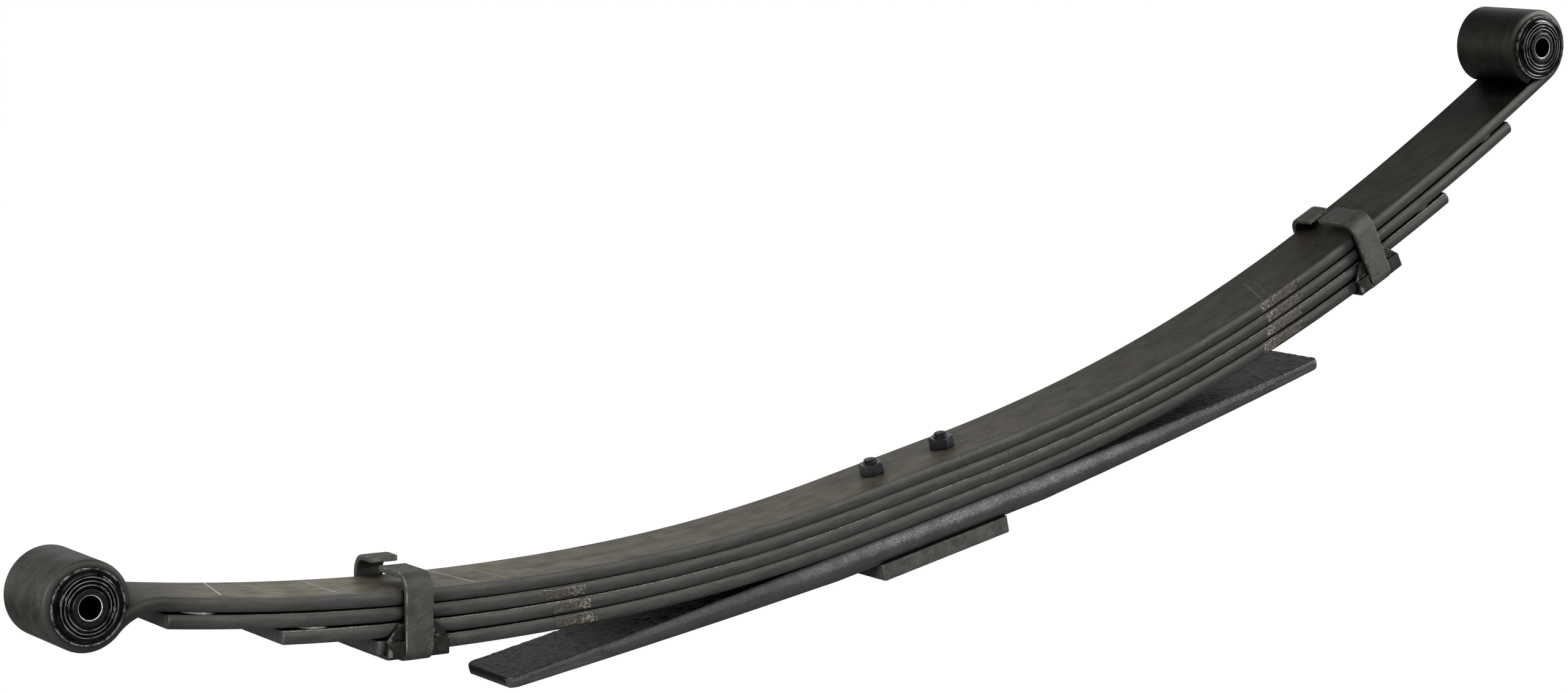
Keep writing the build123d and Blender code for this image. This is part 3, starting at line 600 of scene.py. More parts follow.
def inner_sleeve(end, material):
    """The tube that turns on the pivot bolt."""
    half = [(INNER_RADIUS, 4.0)] + rounded_corner(INNER_RADIUS - 0.7, INNER_HALF - 0.7, 0.7, 0, 90)
    half += [(BORE_RADIUS + 1.4, INNER_HALF)]
    half += [(BORE_RADIUS + 1.1, INNER_HALF - 0.1), (BORE_RADIUS, INNER_HALF - 1.0), (BORE_RADIUS, 4.0)]
    piece = turned(f"{end}_pivot_sleeve_tube", mirrored(half), eye_centre(end), [material],
                   "inner_sleeve_steel", segments=120)
    stand_in(piece, f"{end}_pivot_sleeve", f"{end}_bush_inner_sleeve")


# ---- rebound clips ---------------------------------------------------------------------------
CLIP_WIDTH = 25.0
CLIP_THICKNESS = 5.0
CLIP_LEG_Y = 42.5
CLIP_TOP_BEND = 12.0
CLIP_BOTTOM_BEND = 8.0
CLIP_TAB_END_Y = (2.0, 16.0)
LINER_GAP = 0.37
LINER_WEB = 1.35
STRAP_GAP = 0.1
# Middle of the strap's floor, below the fourth leaf's underside.
STRAP_FLOOR = -LINER_GAP - LINER_WEB - STRAP_GAP - CLIP_THICKNESS / 2
STRAP_EDGE = 1.1


def clip_place(end):
    """Place on the fourth leaf's underside: x along the leaf, z up through the stack."""
    depth = len(LEAVES) * LEAF_THICKNESS
    extra = leaf_extra(3, end)
    slope = slope_at(end, depth, CLIP_STATION[end], extra)
    way = CAMBER[end]["way"]
    segments = camber_segments(end, depth, extra, slope)
    total = sum(length for length, _ in segments)
    places, _ = walk(segments, (0.0, MAIN_TOP - depth), 0.0, [total])
    x, z = way * places[0][0], places[0][1]
    turn = Matrix.Rotation(-way * slope, 4, "Y")
    return Matrix.Translation((x, 0, z)) @ turn


def strap(end, paint, cut_steel):
    """The rebound clip's bent strap, from the near tab's end to the far one's."""
    place = clip_place(end)
    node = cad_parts[f"{end}_rebound_clip"]
    local = np.array([(place.inverted() @ (v.co / MM))[:] for v in node.data.vertices])
    near_top = local[local[:, 1] < -10, 2].max() - CLIP_THICKNESS / 2
    far_top = local[local[:, 1] > 30, 2].max() - CLIP_THICKNESS / 2
    top, low, leg = CLIP_TOP_BEND, CLIP_BOTTOM_BEND, CLIP_LEG_Y
    segments = [
        (CLIP_TAB_END_Y[0] + leg - top, 0.0), (top * QUARTER, 1 / top),
        (near_top - top - (STRAP_FLOOR + low), 0.0), (low * QUARTER, 1 / low),
        (2 * (leg - low), 0.0), (low * QUARTER, 1 / low),
        (far_top - top - (STRAP_FLOOR + low), 0.0), (top * QUARTER, 1 / top),
        (leg - top - CLIP_TAB_END_Y[1], 0.0),
    ]
    total = sum(length for length, _ in segments)
    stations = np.append(np.arange(0.0, total - 1.0, 1.1), [total - 0.5, total - 0.15, total])
    stations = np.insert(stations, 1, [0.15, 0.5])
    # Walking in the (y, z) plane from the near tab's end, towards -y first.
    places, headings = walk(segments, (CLIP_TAB_END_Y[0], near_top), math.pi, stations)
    wide, thick = CLIP_WIDTH / 2 - STRAP_EDGE, CLIP_THICKNESS / 2 - STRAP_EDGE
    outline = []
    corners = ((wide, thick, 0), (-wide, thick, 90), (-wide, -thick, 180), (wide, -thick, 270))
    for cx, ch, start in corners:
        outline += rounded_corner(cx, ch, STRAP_EDGE, start, start + 90, 4)
        if start in (0, 180):
            sign = 1 if start == 0 else -1
            level = ch + math.copysign(STRAP_EDGE, ch)
            outline += [(sign * x, level) for x in np.linspace(wide, -wide, 34)[1:-1]]
    outline = np.array(outline)
    along_x, out = outline[:, 0], outline[:, 1]
    steps = np.linalg.norm(np.diff(np.vstack([outline, outline[:1]]), axis=0), axis=1)
    around = np.concatenate([[0.0], np.cumsum(steps)])
    n, m = len(stations), len(outline)
    broken = np.interp(stations, [0, 0.15, 0.5, total - 0.5, total - 0.15, total],
                       [0.5, 0.15, 0, 0, 0.15, 0.5])
    x = along_x[None, :] - np.sign(along_x)[None, :] * broken[:, None]
    o = out[None, :] - np.sign(out)[None, :] * broken[:, None]
    s = np.tile(stations[:, None], (1, m))
    points = np.stack([x.ravel(), s.ravel(), o.ravel()], -1)
    seed = 31.0 if end == "front" else 47.0
    hammered = bumps(points, 9.0, seed) * 0.22 + bumps(points, 3.0, seed + 2) * 0.10
    hammered = hammered.reshape(n, m)
    outer_face = np.tile(out > 0, (n, 1))
    x = x + np.sign(x) * (np.abs(np.tile(along_x, (n, 1))) > wide) * hammered
    o = o + np.sign(o) * hammered * 0.45
    # A small oval punch mark on the outside of the near leg.
    leg_start = sum(length for length, _ in segments[:2])
    if end == "front":
        mark = leg_start + 0.50 * segments[2][0]
        radius = np.hypot((x - 0.5) / 2.1, (s - mark) / 3.6)
        lip, pit = np.exp(-((radius - 1.0) / 0.28) ** 2), np.exp(-(radius / 0.6) ** 2)
        o = o + outer_face * (0.38 * lip - 0.3 * pit)
    normals = np.stack([np.sin(headings), -np.cos(headings)], -1)
    y = places[:, :1] + o * normals[:, :1]
    z = places[:, 1:] + o * normals[:, 1:]
    flat = np.stack([x, y, z], -1).reshape(-1, 3)
    world = np.array(place)[:3, :3] @ flat.T + np.array(place)[:3, 3:4]
    rings = world.T.reshape(n, m, 3)
    piece = skin(f"{end}_clip_strap", rings, stations, around, [paint, cut_steel], sharp=40.0)
    stand_in(piece, f"{end}_half", f"{end}_rebound_clip")


# ---- pieces refined from their CAD solids ----------------------------------------------------
SHARP_EDGE = math.radians(28.0)
SURFACE_ANGLE = math.radians(1.0)    # flatter joins than this come from the frame's triangles


def refined(node_name, piece_name, body, material, edge, segments=2, longest=2.5, rough=0.12):
    """The node's own shape with its sharp edges rounded by `edge` mm and a slightly uneven skin."""
    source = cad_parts[node_name]
    mesh = source.data.copy()
    mesh.materials.clear()
    work = bmesh.new()
    work.from_mesh(mesh)
    bmesh.ops.remove_doubles(work, verts=work.verts, dist=2e-6)
    bmesh.ops.dissolve_limit(work, angle_limit=SURFACE_ANGLE, verts=work.verts, edges=work.edges)
    sharp = [e for e in work.edges if len(e.link_faces) == 2 and e.calc_face_angle(0) > SHARP_EDGE]
    bmesh.ops.bevel(work, geom=sharp, offset=edge * MM, segments=segments, profile=0.6, affect="EDGES",
                    clamp_overlap=True)
    bmesh.ops.triangulate(work, faces=work.faces)
    for _ in range(7):
        long_edges = [e for e in work.edges if e.calc_length() > longest * MM]
        if not long_edges:
            break
        bmesh.ops.subdivide_edges(work, edges=long_edges, cuts=1)
        bmesh.ops.triangulate(work, faces=[f for f in work.faces if len(f.verts) > 3])
    work.normal_update()
    for v in work.verts:
        v.co += v.normal * (noise.noise(v.co / (7 * MM)) * rough * MM)
    work.normal_update()
    work.to_mesh(mesh)
    work.free()
    mesh.name = piece_name
    for attribute in ("custom_normal", "sharp_face"):
        if attribute in mesh.attributes:
            mesh.attributes.remove(mesh.attributes[attribute])
    piece = finish_mesh(piece_name, mesh, [material], 30.0)
    for polygon in mesh.polygons:
        polygon.material_index = 0
    stand_in(piece, body, node_name)


# ---- bolts with real threads -----------------------------------------------------------------
BOLT_SPACING = 78.0
BOLT_RADIUS = 6.0
THREAD_PITCH = 1.75
THREAD_DEPTH = 0.95
NUT_HEIGHT = 10.0
BOLT_STUB = 3.6
HEAD_RADIUS = 9.5
HEAD_BOTTOM = -9.0
HEAD_TOP = 1.0


def center_bolt(side, material):
    """Cap-head bolt: a plain shank from the head up and a helical thread at the top."""
    segments = 60
    tip = MAIN_TOP + NUT_HEIGHT + BOLT_STUB
    thread_from = MAIN_TOP + 2.0
    levels = [(HEAD_BOTTOM, HEAD_RADIUS - 1.6), (HEAD_BOTTOM + 0.25, HEAD_RADIUS - 1.1)]
    levels += [(HEAD_BOTTOM + 1.5, HEAD_RADIUS), (HEAD_TOP - 0.4, HEAD_RADIUS)]
    levels += [(HEAD_TOP, HEAD_RADIUS - 0.4)]
    levels += [(HEAD_TOP + 0.02, BOLT_RADIUS)]
    levels += [(z, BOLT_RADIUS) for z in np.arange(3.0, thread_from, 6.0)]
    levels += [(z, BOLT_RADIUS) for z in np.arange(thread_from, tip, 0.16)]
    levels += [(tip, BOLT_RADIUS - 1.0)]
    levels = np.array(levels)
    rings = np.zeros((len(levels), segments, 3))
    for j in range(segments):
        a = 2 * math.pi * j / segments
        z, r = levels[:, 0], levels[:, 1].copy()
        phase = (z / THREAD_PITCH - j / segments + 0.3 * side) % 1.0
        valley = 1 - np.abs(2 * phase - 1)
        valley = np.clip(valley * 1.25 - 0.12, 0, 1)
        threaded = np.clip(z - thread_from, 0, 1)
        r = r - THREAD_DEPTH * valley * threaded
        r = np.minimum(r, BOLT_RADIUS - 1.1 + np.maximum(0, tip - z) + (z < thread_from) * 9)
        rings[:, j] = np.stack([r * math.cos(a) + side * BOLT_SPACING / 2, r * math.sin(a), z], -1)
    around = np.linspace(0, 2 * math.pi * BOLT_RADIUS, segments + 1)
    name = "center_bolt_front" if side < 0 else "center_bolt_rear"
    piece = skin(name, rings, levels[:, 0], around, [material], sharp=55.0)
    stand_in(piece, "root", "center_bolts")


# ---- materials -------------------------------------------------------------------------------
class Shader:
    """A Principled material and short ways to add the nodes that feed it."""

    def __init__(self, name):
        self.material = bpy.data.materials.new(name)
        self.material.use_nodes = True
        self.tree = self.material.node_tree
        self.out = next(n for n in self.tree.nodes if n.type == "BSDF_PRINCIPLED")

    def node(self, kind, **settings):
        made = self.tree.nodes.new(kind)
        for key, value in settings.items():
            setattr(made, key, value)
        return made

    def feed(self, socket, value):
        if isinstance(value, bpy.types.NodeSocket):
            self.tree.links.new(value, socket)
        elif isinstance(value, (tuple, list)) and socket.type == "RGBA":
            socket.default_value = (*value[:3], 1.0)
        else:
            socket.default_value = value

    def set(self, **values):
        for key, value in values.items():
            self.feed(self.out.inputs[key.replace("_", " ")], value)

    def math(self, operation, a, b=0.0):
        made = self.node("ShaderNodeMath", operation=operation)
        self.feed(made.inputs[0], a)
        self.feed(made.inputs[1], b)
        return made.outputs[0]

    def mul(self, first, *others):
        for other in others:
            first = self.math("MULTIPLY", first, other)
        return first

    def add(self, first, *others):
        for other in others:
            first = self.math("ADD", first, other)
        return first

    def sub(self, a, b):
        return self.math("SUBTRACT", a, b)

    def least(self, a, b):
        return self.math("MINIMUM", a, b)

    def size(self, a):
        return self.math("ABSOLUTE", a)

    def step(self, value, low, high, to_low=0.0, to_high=1.0):
        made = self.node("ShaderNodeMapRange", interpolation_type="SMOOTHSTEP")
        for index, v in enumerate((value, low, high, to_low, to_high)):
            self.feed(made.inputs[index], v)
        return made.outputs[0]

    def line(self, value, at, outer, inner):
        """1 where the value is within `inner` of `at`, fading to 0 at `outer`."""
        return self.step(self.size(self.sub(value, at)), outer, inner)

    def mix(self, factor, a, b):
        made = self.node("ShaderNodeMix", data_type="RGBA")
        self.feed(made.inputs["Factor"], factor)
        self.feed(made.inputs[6], a)
        self.feed(made.inputs[7], b)
        return made.outputs[2]

    def over(self, colour, top, strength, *masks):
        """The colour with another one laid over it where all the masks are 1."""
        return self.mix(self.mul(*masks, strength), colour, top)

    def scale(self, colour, factor):
        made = self.node("ShaderNodeVectorMath", operation="SCALE")
        self.feed(made.inputs[0], colour)
        self.feed(made.inputs["Scale"], factor)
        return made.outputs[0]

    def vector(self, x, y, z=0.0):
        made = self.node("ShaderNodeCombineXYZ")
        for index, v in enumerate((x, y, z)):
            self.feed(made.inputs[index], v)
        return made.outputs[0]

    def noise(self, vector, scale, detail=3.0, roughness=0.55):
        made = self.node("ShaderNodeTexNoise")
        self.feed(made.inputs["Vector"], vector)
        made.inputs["Scale"].default_value = scale
        made.inputs["Detail"].default_value = detail
        made.inputs["Roughness"].default_value = roughness
        return made.outputs["Fac"]

    def cells(self, vector, scale):
        made = self.node("ShaderNodeTexVoronoi")
        self.feed(made.inputs["Vector"], vector)
        made.inputs["Scale"].default_value = scale
        return made

    def split(self, vector):
        made = self.node("ShaderNodeSeparateXYZ")
        self.feed(made.inputs[0], vector)
        return made.outputs[0], made.outputs[1], made.outputs[2]

    def surf(self):
        """On a skin: mm along it, mm around it, and its tone. On a cut end: mm across and up."""
        return self.split(self.node("ShaderNodeAttribute", attribute_name="surf").outputs["Vector"])

    def place(self):
        """Place in the piece's own frame, in mm."""
        return self.scale(self.node("ShaderNodeTexCoord").outputs["Object"], 1 / MM)

    def radius_about(self, centre):
        """Distance in mm from the axis across the spring through centre."""
        x, _, z = self.split(self.place())
        dx, dz = self.sub(x, centre[0]), self.sub(z, centre[1])
        return self.math("SQRT", self.add(self.mul(dx, dx), self.mul(dz, dz)))

    def painted_crevice_shade(self, reach):
        """Painted shade: 1 out in the open, nearly 0 in gaps and contact corners within reach (mm), from
        ambient occlusion; it darkens the colour where shade falls.
        """
        made = self.node("ShaderNodeAmbientOcclusion", samples=6)
        made.inputs["Distance"].default_value = reach * MM
        return self.step(made.outputs["AO"], 0.30, 0.90, 0.04, 1.0)

    def relief(self, *heights):
        """Bump from (height, distance in mm) pairs."""
        normal = None
        for height, distance in heights:
            made = self.node("ShaderNodeBump")
            made.inputs["Strength"].default_value = 1.0
            made.inputs["Distance"].default_value = distance * MM
            self.feed(made.inputs["Height"], height)
            if normal is not None:
                self.tree.links.new(normal, made.inputs["Normal"])
            normal = made.outputs[0]
        self.tree.links.new(normal, self.out.inputs["Normal"])


SIDE_ARC = 2 * EDGE_ROUNDNESS * LEAF_THICKNESS * math.asin(0.5 / EDGE_ROUNDNESS)
LEAF_AIR = 34.0            # mm; how far off a part still shades the leaf it stands on


def leaf_paint(name, seed, marks=(), ground=(), groove_from=None, rim=None):
    """Satin black paint: dusty on the rolled flats, cleaner on the round sides, worn at the edges, with
    painted light and shade along the leaf, painted shade in gaps and painted glints.
    """
    sh = Shader(name)
    s, q, tone = sh.surf()
    top_width = 2 * LEAF_FLAT
    on_top = sh.mul(sh.step(q, -0.25, 0.25), sh.step(q, top_width + 0.25, top_width - 0.25))
    offset = sh.add(s, seed * 1000.0)
    plain = sh.vector(offset, q, seed)
    streaked = sh.vector(sh.mul(offset, 0.035), q, seed)
    blotch = sh.noise(sh.vector(sh.mul(offset, 0.5), q, seed), 0.07, 5.0, 0.65)
    streaks = sh.noise(streaked, 0.55, 5.0, 0.65)
    grain = sh.noise(plain, 1.6, 3.0, 0.7)
    fine = sh.noise(plain, 0.28, 6.0, 0.7)
    dust = sh.step(sh.add(sh.mul(blotch, 0.78), sh.mul(streaks, 0.22)), 0.34, 0.66)
    top_colour = sh.mix(dust, (0.044, 0.038, 0.025), (0.108, 0.098, 0.069))
    side_tone = sh.noise(sh.vector(sh.mul(offset, 0.2), q, seed), 0.2, 5.0, 0.6)
    side_tone = sh.step(side_tone, 0.3, 0.7)
    side_colour = sh.mix(side_tone, (0.066, 0.066, 0.0635), (0.098, 0.098, 0.094))
    under = sh.step(q, top_width + SIDE_ARC, top_width + SIDE_ARC + 0.6)
    mottle = sh.noise(sh.vector(offset, q, seed + 5.0), 0.075, 6.0, 0.72)
    under_colour = sh.mix(sh.step(mottle, 0.38, 0.62), (0.030, 0.028, 0.022), (0.088, 0.082, 0.066))
    under_colour = sh.mix(sh.step(mottle, 0.66, 0.70), under_colour, (0.012, 0.012, 0.010))
    side_colour = sh.mix(under, side_colour, under_colour)
    colour = sh.mix(on_top, side_colour, top_colour)
    colour = sh.over(colour, (0.014, 0.014, 0.013), 0.55, sh.step(grain, 0.45, 0.72))
    # Painted shade: a dark line where the flat meets the side, in the groove between stacked leaves.
    edge = sh.least(sh.size(q), sh.size(sh.sub(q, top_width)))
    edge_shade_line = sh.mul(sh.step(edge, 0.8, 0.1), sh.step(fine, 0.32, 0.52))
    colour = sh.over(colour, (0.004, 0.004, 0.004), 0.9, edge_shade_line)
    # Dark scuffs along the leaf, rough dark patches, and pale specks that are painted glints.
    scuff = sh.noise(sh.vector(sh.mul(offset, 0.07), q, seed + 7.0), 0.42, 5.0, 0.75)
    scuff = sh.mul(sh.step(scuff, 0.60, 0.70), on_top)
    colour = sh.over(colour, (0.014, 0.013, 0.010), 0.75, scuff)
    patch = sh.noise(sh.vector(sh.mul(offset, 0.6), q, seed + 3.0), 0.045, 2.0, 0.5)
    patch = sh.mul(sh.step(patch, 0.60, 0.66), on_top, sh.step(fine, 0.42, 0.58))
    colour = sh.over(colour, (0.018, 0.017, 0.013), 0.65, patch)
    # Painted glints: small pale spots for light catching on paint nibs.
    glint_cells = sh.cells(plain, 0.16)
    glint_pick = sh.node("ShaderNodeSeparateColor")
    sh.tree.links.new(glint_cells.outputs["Color"], glint_pick.inputs[0])
    painted_glint = sh.mul(sh.step(glint_cells.outputs["Distance"], 0.085, 0.04),
                   sh.step(glint_pick.outputs[0], 0.90, 0.94))
    colour = sh.over(colour, (0.26, 0.26, 0.24), 0.8, painted_glint)
    # Painted light and shade: the tone along the leaf and the ambient-occlusion factor darken the colour in
    # gaps and under parts.
    painted_crevice_shade = sh.painted_crevice_shade(LEAF_AIR)
    colour = sh.scale(colour, sh.mul(tone, painted_crevice_shade))
    heights = [(fine, 0.30), (grain, 0.13), (patch, 0.15)]
    # Chalk and scratches drawn across the top.
    for at, across, length, slant, width, chalk in marks:
        dv = sh.sub(q, across)
        u = sh.sub(sh.sub(s, at), sh.mul(dv, slant))
        colour = sh.over(colour, (chalk, chalk, chalk * 0.9), 0.85,
                         sh.step(sh.size(u), width, width * 0.4),
                         sh.step(sh.size(dv), length / 2, length / 2 - 5),
                         sh.step(fine, 0.30, 0.50), on_top)
    roughness = sh.add(sh.mul(streaks, 0.08), sh.mul(on_top, 0.04), 0.35)
    # Ground flats: grey-brown bare skin with bright specks, a dark outline and a bright inner end.
    for low, high in ground:
        wander = sh.mul(sh.sub(sh.noise(plain, 0.10, 4.0, 0.6), 0.5), 16.0)
        s_in = sh.add(s, wander)
        to_low = sh.sub(s_in, low)
        to_high = sh.sub(high, s_in)
        to_bottom = sh.add(sh.sub(q, -SIDE_ARC + 1.6), sh.mul(wander, 0.3))
        to_top = sh.sub(-1.5, sh.add(q, sh.mul(wander, 0.3)))
        room = sh.least(sh.least(to_low, to_high), sh.least(to_bottom, to_top))
        inside = sh.step(room, 0.0, 0.5)
        crumbs = sh.noise(plain, 0.45, 5.0, 0.75)
        bare = sh.mix(sh.step(crumbs, 0.40, 0.60), (0.050, 0.047, 0.037), (0.125, 0.118, 0.092))
        eager = sh.add(crumbs, sh.step(to_low, 26.0, 3.0, 0.0, 0.12))
        bare = sh.mix(sh.step(eager, 0.62, 0.69), bare, (0.40, 0.385, 0.33))
        colour = sh.mix(inside, colour, bare)
        outline = sh.mul(sh.step(sh.size(room), 0.45, 0.1), sh.step(fine, 0.36, 0.5))
        colour = sh.over(colour, (0.008, 0.008, 0.007), 0.8, outline)
        bright = sh.mul(sh.line(room, 0.7, 0.5, 0.1), sh.step(crumbs, 0.36, 0.52),
                        sh.step(sh.least(to_low, to_top), 2.6, 1.0))
        colour = sh.over(colour, (0.40, 0.39, 0.36), 0.8, bright)
        heights.append((sh.mul(inside, crumbs), 1.0))
    if rim is not None:
        # Bright worn crumbs along the upper edge of the near side.
        crumb = sh.noise(sh.vector(sh.mul(offset, 0.5), q, 5.0), 0.8, 4.0, 0.7)
        band = sh.step(sh.size(sh.add(q, 0.75)), 0.65, 0.2)
        reach = sh.step(sh.noise(sh.vector(offset, 0.0, seed), 0.014, 2.0, 0.5), rim, rim + 0.08)
        colour = sh.over(colour, (0.36, 0.355, 0.33), 0.8, band, reach, sh.step(crumb, 0.44, 0.56))
    if groove_from is not None:
        # Two fine dark rolling lines near the top's near edge.
        for at, width in ((3.3, 0.40), (5.2, 0.28)):
            colour = sh.over(colour, (0.006, 0.006, 0.005), 0.75, sh.line(q, at, width, width * 0.3),
                             sh.step(s, groove_from, groove_from + 30.0), sh.step(streaks, 0.30, 0.45))
    shine = sh.mul(sh.step(sh.add(streaks, scuff), 0.30, 0.70, 0.50, 0.32), painted_crevice_shade)
    sh.set(Base_Color=colour, Roughness=roughness, Specular_IOR_Level=shine,
           Specular_Tint=(1.0, 0.96, 0.86))
    sh.relief(*heights)
    return sh.material


def cut_end(name):
    """Sheared end of a leaf: dark, with upright shear lines."""
    sh = Shader(name)
    w, h, _ = sh.surf()
    lines = sh.noise(sh.vector(w, sh.mul(h, 0.12), 3.0), 0.9, 3.0, 0.6)
    mottle = sh.noise(sh.vector(w, h, 9.0), 0.5, 4.0, 0.7)
    colour = sh.mix(sh.step(lines, 0.40, 0.66), (0.012, 0.012, 0.011), (0.085, 0.083, 0.075))
    colour = sh.over(colour, (0.02, 0.02, 0.019), 0.6, sh.step(mottle, 0.45, 0.7))
    # Painted shade: the ambient-occlusion factor darkens the colour in gaps.
    sh.set(Base_Color=sh.scale(colour, sh.painted_crevice_shade(12.0)), Roughness=0.45)
    sh.relief((lines, 0.5), (mottle, 0.3))
    return sh.material


def overload_paint(name):
    """Thick glossy paint over pebbled scale, with a painted highlight along the middle of its near upper
    side.
    """
    sh = Shader(name)
    s, q, _ = sh.surf()
    place = sh.place()
    flat = 2 * (SIDE_Y - section_inset(OVERLOAD_THICKNESS))
    on_top = sh.mul(sh.step(q, -0.3, 0.3), sh.step(q, flat + 0.3, flat - 0.3))
    pebbles = sh.cells(place, 0.75)
    crumbs = sh.noise(place, 1.1, 4.0, 0.7)
    patchy = sh.noise(place, 0.030, 4.0, 0.6)
    ragged = sh.add(q, sh.mul(sh.sub(sh.noise(place, 0.25, 4.0, 0.7), 0.5), 9.0))
    band = sh.mul(sh.step(ragged, -15.0, -9.5), sh.step(ragged, -3.0, -6.5))
    middle = sh.mul(sh.step(s, -200.0, -90.0), sh.step(s, 300.0, 170.0))
    painted_highlight = sh.mul(band, middle, sh.step(patchy, 0.25, 0.60), sh.step(crumbs, 0.42, 0.64))
    side_colour = sh.mix(sh.step(patchy, 0.3, 0.7), (0.070, 0.070, 0.067), (0.098, 0.098, 0.093))
    # Painted shadow: the side is dark in a strip just under its top edge, where the fourth leaf sits above.
    side_colour = sh.mix(sh.step(q, -4.5, -1.0), side_colour, (0.016, 0.016, 0.015))
    side_colour = sh.over(side_colour, (0.02, 0.02, 0.02), 0.5, sh.step(crumbs, 0.50, 0.70))
    top_colour = sh.mix(sh.step(crumbs, 0.44, 0.68), (0.002, 0.002, 0.0015), (0.022, 0.020, 0.016))
    colour = sh.mix(on_top, side_colour, top_colour)
    # Painted highlight: a pale granular band along the middle of the near upper side.
    colour = sh.over(colour, (0.50, 0.50, 0.48), 0.9, painted_highlight)
    scabs = sh.noise(place, 0.075, 5.0, 0.7)
    colour = sh.over(colour, (0.30, 0.29, 0.26), 0.75, sh.step(scabs, 0.68, 0.72), sh.step(q, 0.0, -2.0),
                     sh.step(crumbs, 0.40, 0.56))
    # Painted shade: the ambient-occlusion factor darkens the colour in gaps and under the fourth leaf.
    painted_crevice_shade = sh.painted_crevice_shade(26.0)
    sh.set(Base_Color=sh.scale(colour, painted_crevice_shade), Roughness=sh.step(on_top, 0, 1, 0.40, 0.30),
           Specular_IOR_Level=sh.mul(sh.step(on_top, 0, 1, 0.5, 0.12), painted_crevice_shade))
    strength = sh.add(sh.mul(on_top, 0.8), sh.mul(band, 0.35), 0.12)
    sh.relief((sh.mul(pebbles.outputs["Distance"], strength), 0.9),
              (sh.mul(crumbs, strength), 1.2))
    return sh.material


def plain_paint(name, dark, light, roughness=0.45, grain_mm=0.9, depth=0.35, wear=0.0, edges=()):
    """Black paint or blackened steel with patchy tone, orange peel, painted shade in gaps and, if asked,
    worn high spots.

    Edges are places around the skin whose paint is worn through to bright metal.
    """
    sh = Shader(name)
    place = sh.place()
    patches = sh.noise(place, 0.12, 4.0, 0.6)
    grain = sh.noise(place, 1 / grain_mm, 4.0, 0.7)
    colour = sh.mix(sh.step(patches, 0.3, 0.7), dark, light)
    colour = sh.over(colour, tuple(c * 0.3 for c in dark), 0.5, sh.step(grain, 0.5, 0.75))
    if wear:
        height = sh.add(sh.node("ShaderNodeNewGeometry").outputs["Pointiness"], sh.mul(grain, 0.04))
        worn = sh.step(height, 0.530, 0.575)
        colour = sh.over(colour, (0.34, 0.33, 0.30), wear, worn)
    for at in edges:
        _, around, _ = sh.surf()
        colour = sh.over(colour, (0.40, 0.39, 0.34), 0.8, sh.line(around, at, 0.75, 0.25),
                         sh.step(sh.noise(place, 0.16, 5.0, 0.75), 0.46, 0.60))
    # Painted shade: the ambient-occlusion factor darkens the colour in gaps and contact corners.
    painted_crevice_shade = sh.painted_crevice_shade(16.0)
    sh.set(Base_Color=sh.scale(colour, painted_crevice_shade), Specular_IOR_Level=sh.mul(painted_crevice_shade, 0.5),
           Roughness=sh.step(patches, 0.2, 0.8, roughness - 0.08, roughness + 0.1))
    sh.relief((grain, depth), (patches, depth * 2))
    return sh.material


def black_rubber(name, centre):
    """Glossy moulded rubber, with painted highlights along its rings."""
    sh = Shader(name)
    place = sh.place()
    radius = sh.radius_about(centre)
    bloom = sh.noise(place, 0.16, 4.0, 0.6)
    fine = sh.noise(place, 1.5, 3.0, 0.6)
    colour = sh.mix(sh.step(bloom, 0.45, 0.80), (0.0015, 0.0015, 0.0013), (0.010, 0.0095, 0.008))
    highlight_breakup = sh.noise(place, 0.10, 3.0, 0.6)
    # Painted highlights: thin pale lines along the ridges, broken up by noise.
    for ring, _ in RIDGES:
        colour = sh.over(colour, (0.24, 0.24, 0.23), 0.9, sh.line(radius, ring, 0.50, 0.20),
                         sh.step(highlight_breakup, 0.28, 0.60))
    sh.set(Base_Color=colour, Roughness=sh.step(bloom, 0.3, 0.7, 0.09, 0.20), Specular_IOR_Level=0.30)
    sh.relief((fine, 0.03), (bloom, 0.15))
    return sh.material


def sleeve_steel(name, centre):
    """Black flange with painted highlights along both edges of its crimped rim."""
    sh = Shader(name)
    place = sh.place()
    radius = sh.radius_about(centre)
    stain = sh.noise(place, 0.5, 4.0, 0.7)
    highlight_breakup = sh.noise(place, 0.16, 4.0, 0.65)
    colour = sh.mix(sh.step(stain, 0.4, 0.7), (0.004, 0.004, 0.004), (0.028, 0.027, 0.024))
    # Painted highlights: two thin pale lines along the rim's edges, broken up by noise.
    for ring, width in ((FLANGE_RADIUS - 0.25, 0.22), (FLANGE_RADIUS - 1.15, 0.25)):
        colour = sh.over(colour, (0.34, 0.34, 0.32), 0.8, sh.line(radius, ring, width * 2, width),
                         sh.step(highlight_breakup, 0.42, 0.60))
    sh.set(Base_Color=colour, Roughness=0.22)
    sh.relief((stain, 0.2))
    return sh.material


def oiled_steel(name, colour, roughness):
    """Blackened steel under an oily film."""
    sh = Shader(name)
    place = sh.place()
    stain = sh.noise(place, 0.5, 5.0, 0.7)
    fine = sh.noise(place, 2.2, 3.0, 0.6)
    tone = sh.mix(sh.step(stain, 0.38, 0.66), tuple(c * 0.25 for c in colour), colour)
    sh.set(Base_Color=tone, Metallic=0.85,
           Roughness=sh.step(stain, 0.3, 0.7, roughness + 0.15, roughness))
    sh.relief((fine, 0.10), (stain, 0.15))
    return sh.material


